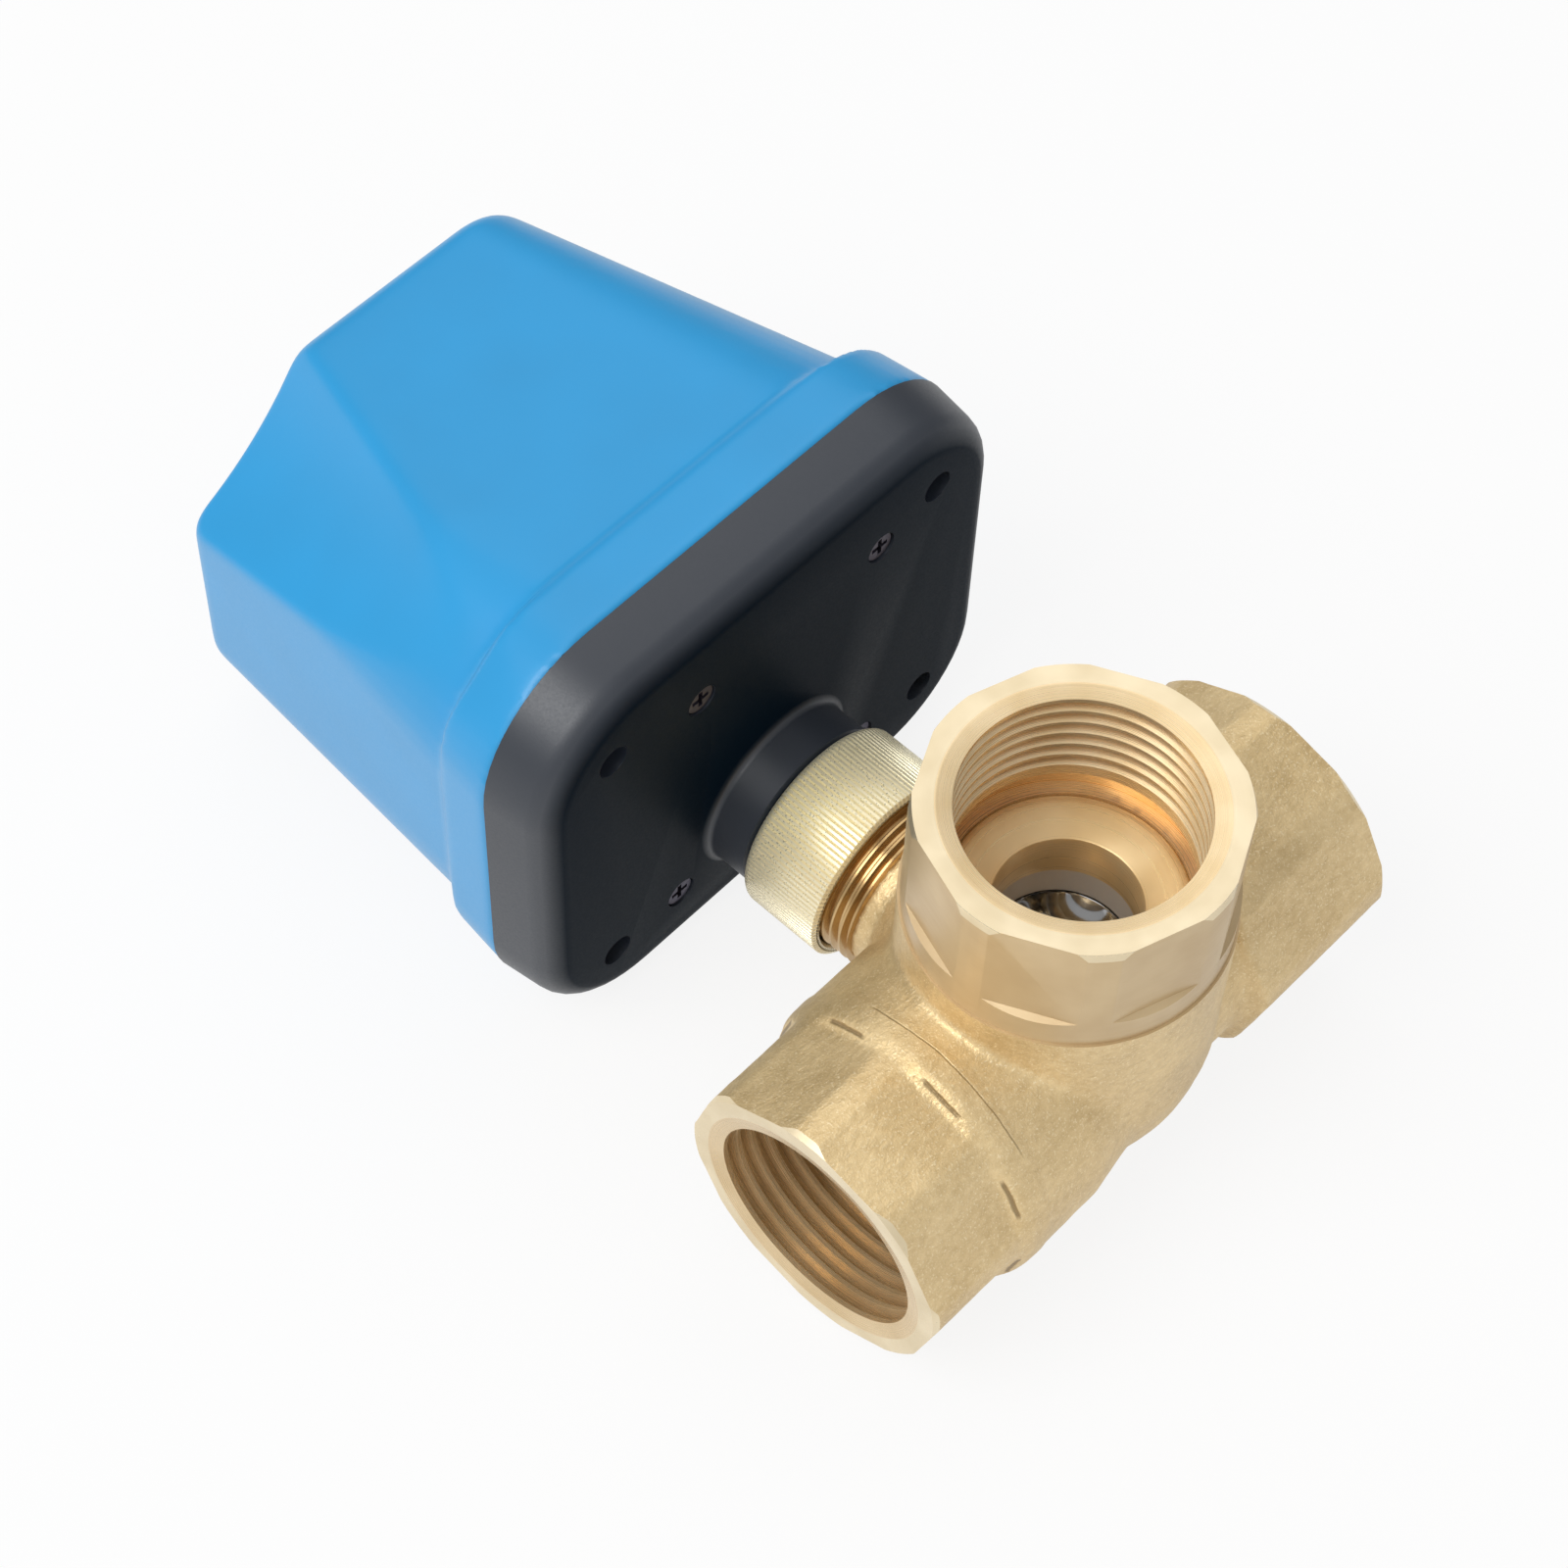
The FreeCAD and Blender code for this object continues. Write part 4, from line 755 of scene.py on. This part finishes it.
def make_ball():
    """Chromed ball with its angled passage; the mouths are rounded over."""
    bpy.ops.object.select_all(action="DESELECT")
    bpy.ops.mesh.primitive_uv_sphere_add(
        segments=128, ring_count=64, radius=BALL_R * MM, location=(0, 0, AXIS_Z * MM)
    )
    ball = bpy.context.object
    ball.name = "chrome_ball"
    fix_place(ball)
    paint(ball, CHROME)
    passage = [
        (0, 0), (BALL_BORE, 0), (BALL_BORE, 11.7), (BALL_BORE + 0.12, 12.0), (BALL_BORE + 0.45, 12.3),
        (BALL_BORE + 1.2, 12.6), (0, 16),
    ]
    up = lathe("passage", [(r, d + AXIS_Z) for r, d in passage], "up")
    side = lathe("passage", passage, "near")
    elbow = lathe("elbow", half_circle(BALL_BORE, 9), "near")
    tool = paint(weld(up, side, elbow), CHROME)
    bpy.ops.object.select_all(action="DESELECT")
    bpy.ops.mesh.primitive_cube_add(
        size=1, location=(-15.4 * MM, 0, AXIS_Z * MM), scale=(6 * MM, 40 * MM, 3.4 * MM)
    )
    groove = bpy.context.object
    fix_place(groove)
    paint(groove, CHROME)
    cut(ball, tool, groove)
    shade(ball, 35)
    return finish_piece(ball, "drive", ["ball"])


def make_nut():
    """Union nut: 120 straight teeth rolled on a turned blank, a rounded back edge and a lip inside."""
    length = NUT_END - NUT_START
    bpy.ops.object.select_all(action="DESELECT")
    bpy.ops.mesh.primitive_circle_add(vertices=NUT_TEETH * 4, radius=NUT_R * MM, fill_type="NOTHING")
    nut = bpy.context.object
    nut.name = "knurled_nut"
    edit(nut)
    bpy.ops.transform.rotate(
        value=math.radians(90), orient_axis="Y", center_override=(0, 0, 0), orient_type="GLOBAL"
    )
    bpy.ops.transform.translate(value=(-NUT_START * MM, 0, AXIS_Z * MM))
    centre = (0, 0, AXIS_Z * MM)

    def ring(step_mm, new_radius, old_radius):
        bpy.ops.mesh.extrude_edges_move(TRANSFORM_OT_translate={"value": (-step_mm * MM, 0, 0)})
        k = new_radius / old_radius
        bpy.ops.transform.resize(value=(1, k, k), center_override=centre)

    outside = [
        (0.35, NUT_R), (length - 1.75, NUT_R), (0.45, NUT_R - 0.12), (0.4, NUT_R - 0.42),
        (0.35, NUT_R - 0.9),
        (0.2, NUT_R - 1.4), (0.0, NUT_LIP_R), (-NUT_LIP, NUT_LIP_R), (0.0, NUT_BORE),
        (-(length - NUT_LIP - 0.5), NUT_BORE), (-0.5, 12.6), (0.0, NUT_ROOT - 0.5),
    ]
    k = (NUT_ROOT - 0.3) / NUT_R
    bpy.ops.transform.resize(value=(1, k, k), center_override=centre)
    previous = NUT_ROOT - 0.3
    for step, now in outside:
        ring(step, now, previous)
        previous = now
    bpy.ops.mesh.select_all(action="DESELECT")
    leave()
    for vertex in nut.data.vertices:
        y, z = vertex.co.y, vertex.co.z - AXIS_Z * MM
        index = round(math.atan2(z, y) / (2 * math.pi) * NUT_TEETH * 4) % 4
        vertex.select = index == 0 and math.hypot(y, z) > NUT_R * MM - 0.95 * MM
    bpy.ops.object.mode_set(mode="EDIT")
    bpy.ops.transform.resize(value=(1, NUT_ROOT / NUT_R, NUT_ROOT / NUT_R), center_override=centre)
    bpy.ops.mesh.select_all(action="SELECT")
    bpy.ops.mesh.remove_doubles(threshold=MERGE)
    bpy.ops.mesh.normals_make_consistent(inside=False)
    leave()
    fix_place(nut)
    paint(nut, NUT_BRASS_PAINTED_SHEEN)
    shade(nut, 25)
    return finish_piece(nut, "nut", ["union_nut"])


# Plastic housing


def outline(name, out, near, far, bottom, top, corner, segments=12):
    """A rounded rectangle across the stem line: a plane sized to the box, its corners bevelled round."""
    bpy.ops.object.select_all(action="DESELECT")
    bpy.ops.mesh.primitive_plane_add(size=1)
    piece = bpy.context.object
    piece.name = name
    edit(piece)
    bpy.ops.transform.rotate(
        value=math.radians(90), orient_axis="Y", center_override=(0, 0, 0), orient_type="GLOBAL"
    )
    bpy.ops.transform.resize(value=(1, (far - near) * MM, (top - bottom) * MM), center_override=(0, 0, 0))
    middle_y = (near + far) / 2
    middle_z = BASE_Z + (bottom + top) / 2
    bpy.ops.transform.translate(value=(-out * MM, middle_y * MM, middle_z * MM))
    bpy.ops.mesh.bevel(offset=corner * MM, segments=segments, affect="VERTICES")
    leave()
    fix_place(piece)
    return piece


def even_outline(name, out, inset, corner):
    half_y = BASE_HALF_Y - inset
    half_z = BASE_HALF_Z - inset
    return outline(name, out, -half_y, half_y, -half_z, half_z, corner)


def stack(name, outlines):
    """Join outlines into one closed shell by bridging each one to the next."""
    bpy.ops.object.select_all(action="DESELECT")
    for piece in outlines:
        piece.select_set(True)
    bpy.context.view_layer.objects.active = outlines[0]
    bpy.ops.object.join()
    shell = bpy.context.object
    shell.name = name
    places = sorted({round(v.co.x, 7) for v in shell.data.vertices})
    edit(shell)
    bpy.ops.mesh.select_mode(type="FACE")
    bpy.ops.mesh.select_all(action="DESELECT")
    leave()
    for face in shell.data.polygons:
        face.select = places[0] + SAME_PLACE < face.center.x < places[-1] - SAME_PLACE
    bpy.ops.object.mode_set(mode="EDIT")
    bpy.ops.mesh.delete(type="ONLY_FACE")
    bpy.ops.mesh.select_mode(type="EDGE")
    for low, high in zip(places, places[1:]):
        bpy.ops.mesh.select_all(action="DESELECT")
        leave()
        for edge in shell.data.edges:
            xs = [shell.data.vertices[i].co.x for i in edge.vertices]
            edge.select = all(min(abs(x - low), abs(x - high)) < SAME_PLACE for x in xs)
        bpy.ops.object.mode_set(mode="EDIT")
        bpy.ops.mesh.bridge_edge_loops()
    bpy.ops.mesh.select_mode(type="VERT")
    bpy.ops.mesh.select_all(action="SELECT")
    bpy.ops.mesh.normals_make_consistent(inside=False)
    leave()
    return shell


def round_edges_at(piece, out, width, segments):
    """Bevel the loop of edges that lies at one distance along the stem line."""
    edit(piece)
    bpy.ops.mesh.select_mode(type="EDGE")
    bpy.ops.mesh.select_all(action="DESELECT")
    leave()
    for edge in piece.data.edges:
        xs = [piece.data.vertices[i].co.x for i in edge.vertices]
        edge.select = all(abs(x + out * MM) < SAME_PLACE for x in xs)
    bpy.ops.object.mode_set(mode="EDIT")
    bpy.ops.mesh.bevel(offset=width * MM, segments=segments)
    bpy.ops.mesh.select_mode(type="VERT")
    leave()


def soft_hollow(piece):
    """The shallow hollow at one corner of the cover's end: the skin inside a big leaning round is pushed
    back to its surface, with a soft edge."""
    softness = 0.55 * MM
    centre = HOLLOW_CENTRE * MM
    for vertex in piece.data.vertices:
        from_centre = vertex.co - centre
        across = from_centre - HOLLOW_LEAN * from_centre.dot(HOLLOW_LEAN)
        depth = (HOLLOW_R - 0.3) * MM - across.length
        if depth > -6 * softness:
            push = softness * math.log1p(math.exp(max(-30.0, min(30.0, depth / softness))))
            vertex.co += across.normalized() * push


def hollow_wall():
    """The leaning round again, larger by the cover's wall, to keep the wall whole behind the hollow."""
    bpy.ops.object.select_all(action="DESELECT")
    turn = HOLLOW_LEAN.to_track_quat("Z", "Y").to_euler()
    bpy.ops.mesh.primitive_cylinder_add(
        vertices=160, radius=(HOLLOW_R + COVER_WALL) * MM, depth=0.12, location=HOLLOW_CENTRE * MM,
        rotation=turn
    )
    piece = bpy.context.object
    fix_place(piece)
    return piece


def make_cover():
    foot = SEAM_OUT + SKIRT_LENGTH
    step = SKIRT_DRAFT + SKIRT_STEP
    hull = stack("hull", [
        even_outline("foot", foot - 1.5, step, HULL_CORNER),
        outline("end", COVER_END, *END_SPAN, END_CORNER),
    ])
    round_edges_at(hull, COVER_END, 3.0, 5)
    skirt = stack("skirt", [
        even_outline("seam", SEAM_OUT, 0, BASE_CORNER),
        even_outline("skirt_top", foot, SKIRT_DRAFT, BASE_CORNER - SKIRT_DRAFT),
    ])
    cover = weld(hull, skirt)
    cover.name = "blue_cover"
    remesh(cover, COVER_VOXEL)
    soft_hollow(cover)
    smooth = cover.modifiers.new("soft", "SMOOTH")
    smooth.factor = 0.5
    smooth.iterations = 4
    bpy.ops.object.modifier_apply(modifier="soft")
    room = stack("room", [
        even_outline("low", SEAM_OUT - 1, step + COVER_WALL, HULL_CORNER - COVER_WALL),
        even_outline("middle", foot, step + COVER_WALL, HULL_CORNER - COVER_WALL),
        outline("high", COVER_END - COVER_WALL, *ROOM_SPAN, END_CORNER - COVER_WALL),
    ])
    cut(room, hollow_wall())
    for y, z in COVER_SCREWS:
        cut(room, rod(SEAM_OUT - 2, SEAM_OUT + 16, BOSS_R, y, z))
    inlet = lathe("inlet", [
        (0, BASE_HALF_Y - 2 * BASE_WALL), (4.5, BASE_HALF_Y - 2 * BASE_WALL), (4.5, BASE_HALF_Y - BASE_WALL),
        (3.6, BASE_HALF_Y - BASE_WALL), (3.6, BASE_HALF_Y + 2), (0, BASE_HALF_Y + 2),
    ], "far", 64, 0.0, (-INLET_OUT, 0, BASE_Z - AXIS_Z))
    cut(cover, room, inlet)
    for y, z in COVER_SCREWS:
        cut(cover, rod(SEAM_OUT - 1, 66.5, 1.2, y, z))
    paint(cover, BLUE)
    shade(cover, 40)
    return finish_piece(cover, "housing", ["cover"])


def make_base():
    """Black tray with the round collar that carries the nut, its posts and the sunk screw holes."""
    base = stack("black_base", [
        even_outline("face", BASE_FACE, BASE_DRAFT, BASE_CORNER - BASE_DRAFT),
        even_outline("seam", SEAM_OUT, 0, BASE_CORNER),
    ])
    round_edges_at(base, BASE_FACE, BASE_EDGE, 6)
    tray = stack("tray", [
        even_outline("floor", BASE_FLOOR, BASE_WALL, BASE_CORNER - BASE_WALL),
        even_outline("mouth", SEAM_OUT + 1, BASE_WALL, BASE_CORNER - BASE_WALL),
    ])
    for y, z in COVER_SCREWS:
        cut(tray, rod(BASE_FLOOR - 1, SEAM_OUT + 2, BOSS_R, y, z))
    groove = stack("groove", [
        even_outline("floor", SEAM_OUT - GASKET_DEPTH, GROOVE_INSET, BASE_CORNER - GROOVE_INSET),
        even_outline("mouth", SEAM_OUT + 1, GROOVE_INSET, BASE_CORNER - GROOVE_INSET),
    ])
    land = stack("land", [
        even_outline("floor", SEAM_OUT - 2, LAND_INSET, BASE_CORNER - LAND_INSET),
        even_outline("mouth", SEAM_OUT + 2, LAND_INSET, BASE_CORNER - LAND_INSET),
    ])
    cut(base, tray, cut(groove, land))
    collar = lathe("collar", [
        (SHAFT_BORE, 33.3), (9.2, 33.3), (SPIGOT_R, 33.7), (SPIGOT_R, 34.6), (8.6, 34.6), (8.6, 36.0),
        (SPIGOT_R, 36.0), (SPIGOT_R, 41.0), (11.9, 41.0), (COLLAR_R, 41.4), (COLLAR_R, 46.6), (12.4, 47.1),
        (12.7, 47.5), (13.5, 47.85), (13.5, BASE_FLOOR), (SHAFT_BORE, BASE_FLOOR),
    ], "out")
    weld(base, collar)
    for y, z in FRAME_SCREWS:
        weld(base, rod(BASE_FLOOR - 0.5, PLATE_SEAT, POST_R, y, z))
    cut(base, rod(33, BASE_FLOOR + 1, SHAFT_BORE, steps=96), rod(42, BASE_FLOOR + 1, 8.0, steps=96))
    cut(base, rod(BASE_FLOOR - 1.5, BASE_FLOOR + 1, 1.5, *IDLER_ARBOR))
    for places, head_seat in ((COVER_SCREWS, BASE_FACE + 3.8), (FRAME_SCREWS, BASE_FACE + 1.9)):
        for y, z in places:
            cut(base, rod(BASE_FACE - 1, head_seat, HEAD_HOLE, y, z), rod(BASE_FACE, 63, SHANK_HOLE, y, z))
    paint(base, BLACK)
    shade(base, 30)
    return finish_piece(base, "housing", ["base_plate"])


# Stage, light and camera


def make_stage():
    """White paper under the object. It glows to the camera, and in mirrors too, fading towards the far
    side of the valve."""
    bpy.ops.object.select_all(action="DESELECT")
    bpy.ops.mesh.primitive_plane_add(size=3.0, location=(0, 0, cad_box[0].z - 0.0002))
    floor = bpy.context.object
    floor.name = "floor"
    fix_place(floor)
    material = bpy.data.materials.new("floor_paper")
    material.use_nodes = True
    nodes = material.node_tree.nodes
    links = material.node_tree.links
    shader = nodes["Principled BSDF"]
    shader.inputs["Base Color"].default_value = (0.82, 0.82, 0.82, 1)
    shader.inputs["Roughness"].default_value = 0.9
    glow = nodes.new("ShaderNodeEmission")
    glow.inputs["Color"].default_value = (1, 1, 1, 1)
    glow.inputs["Strength"].default_value = 1.0
    path = nodes.new("ShaderNodeLightPath")
    mix = nodes.new("ShaderNodeMixShader")
    seen = math_node(nodes, links, "MULTIPLY", path.outputs["Is Camera Ray"], 0.86)
    rays = (path.outputs["Is Glossy Ray"], path.outputs["Is Transmission Ray"])
    mirrored = math_node(nodes, links, "MAXIMUM", *rays)
    split = nodes.new("ShaderNodeSeparateXYZ")
    links.new(object_coordinates(nodes, links), split.inputs["Vector"])
    side = math_node(nodes, links, "ADD", split.outputs["X"], split.outputs["Y"])
    fade = spread(nodes, links, side, -0.12, 0.05, 1.0, 0.3)
    share = math_node(nodes, links, "MAXIMUM", seen, math_node(nodes, links, "MULTIPLY", mirrored, fade))
    links.new(share, mix.inputs["Fac"])
    links.new(shader.outputs["BSDF"], mix.inputs[1])
    links.new(glow.outputs["Emission"], mix.inputs[2])
    links.new(mix.outputs["Shader"], nodes["Material Output"].inputs["Surface"])
    floor.data.materials.append(material)


def softbox(name, place, aim, width, height, watts):
    bpy.ops.object.light_add(type="AREA", location=place)
    lamp = bpy.context.object
    lamp.name = name
    lamp.data.shape = "RECTANGLE"
    lamp.data.size = width
    lamp.data.size_y = height
    lamp.data.energy = watts
    lamp.rotation_euler = (Vector(aim) - Vector(place)).to_track_quat("-Z", "Y").to_euler()


def make_light():
    """Two softboxes from above, and a sky that is brighter above and towards the near side."""
    middle = (-0.04, 0, -0.03)
    softbox("key", (-0.30, -0.88, 1.17), middle, 1.0, 1.0, 12.5)
    softbox("overhead", (-0.6, 0.6, 1.2), middle, 1.2, 1.2, 4)
    world = bpy.data.worlds.new("studio")
    bpy.context.scene.world = world
    world.use_nodes = True
    nodes = world.node_tree.nodes
    links = world.node_tree.links
    nodes["Background"].inputs["Color"].default_value = (1, 1, 1, 1)
    direction = nodes.new("ShaderNodeTexCoord")
    toward = nodes.new("ShaderNodeVectorMath")
    toward.operation = "DOT_PRODUCT"
    toward.inputs[1].default_value = (0.32, -0.55, 0.64)
    links.new(direction.outputs["Generated"], toward.inputs[0])
    strength = spread(nodes, links, toward.outputs["Value"], -0.6, 0.9, 0.2, 0.72)
    links.new(strength, nodes["Background"].inputs["Strength"])


def make_camera():
    """The photograph's view: place, aim and a slight roll, in metres and degrees."""
    place = Vector((0.13254, -0.20403, 0.37376))
    aim = Vector((-0.02487, -0.02403, 0.00440))
    roll = 2.6303
    angle_of_view = 22.8994
    bpy.ops.object.camera_add(location=place)
    camera = bpy.context.object
    turn = (aim - place).to_track_quat("-Z", "Y").to_matrix().to_4x4()
    camera.matrix_world = Matrix.Translation(place) @ turn @ Matrix.Rotation(math.radians(roll), 4, "Z")
    camera.data.sensor_width = 36.0
    camera.data.angle = math.radians(angle_of_view)
    camera.data.clip_start = 0.01
    bpy.context.scene.camera = camera


make_camera()
make_stage()
make_light()
make_valve_body()
make_threaded_neck()
make_insert()
make_ball()
make_nut()
make_cover()
make_base()
for node, material in NODE_FINISHES.items():
    paint(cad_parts[node], material)

bpy.context.scene.view_settings.view_transform = "Standard"
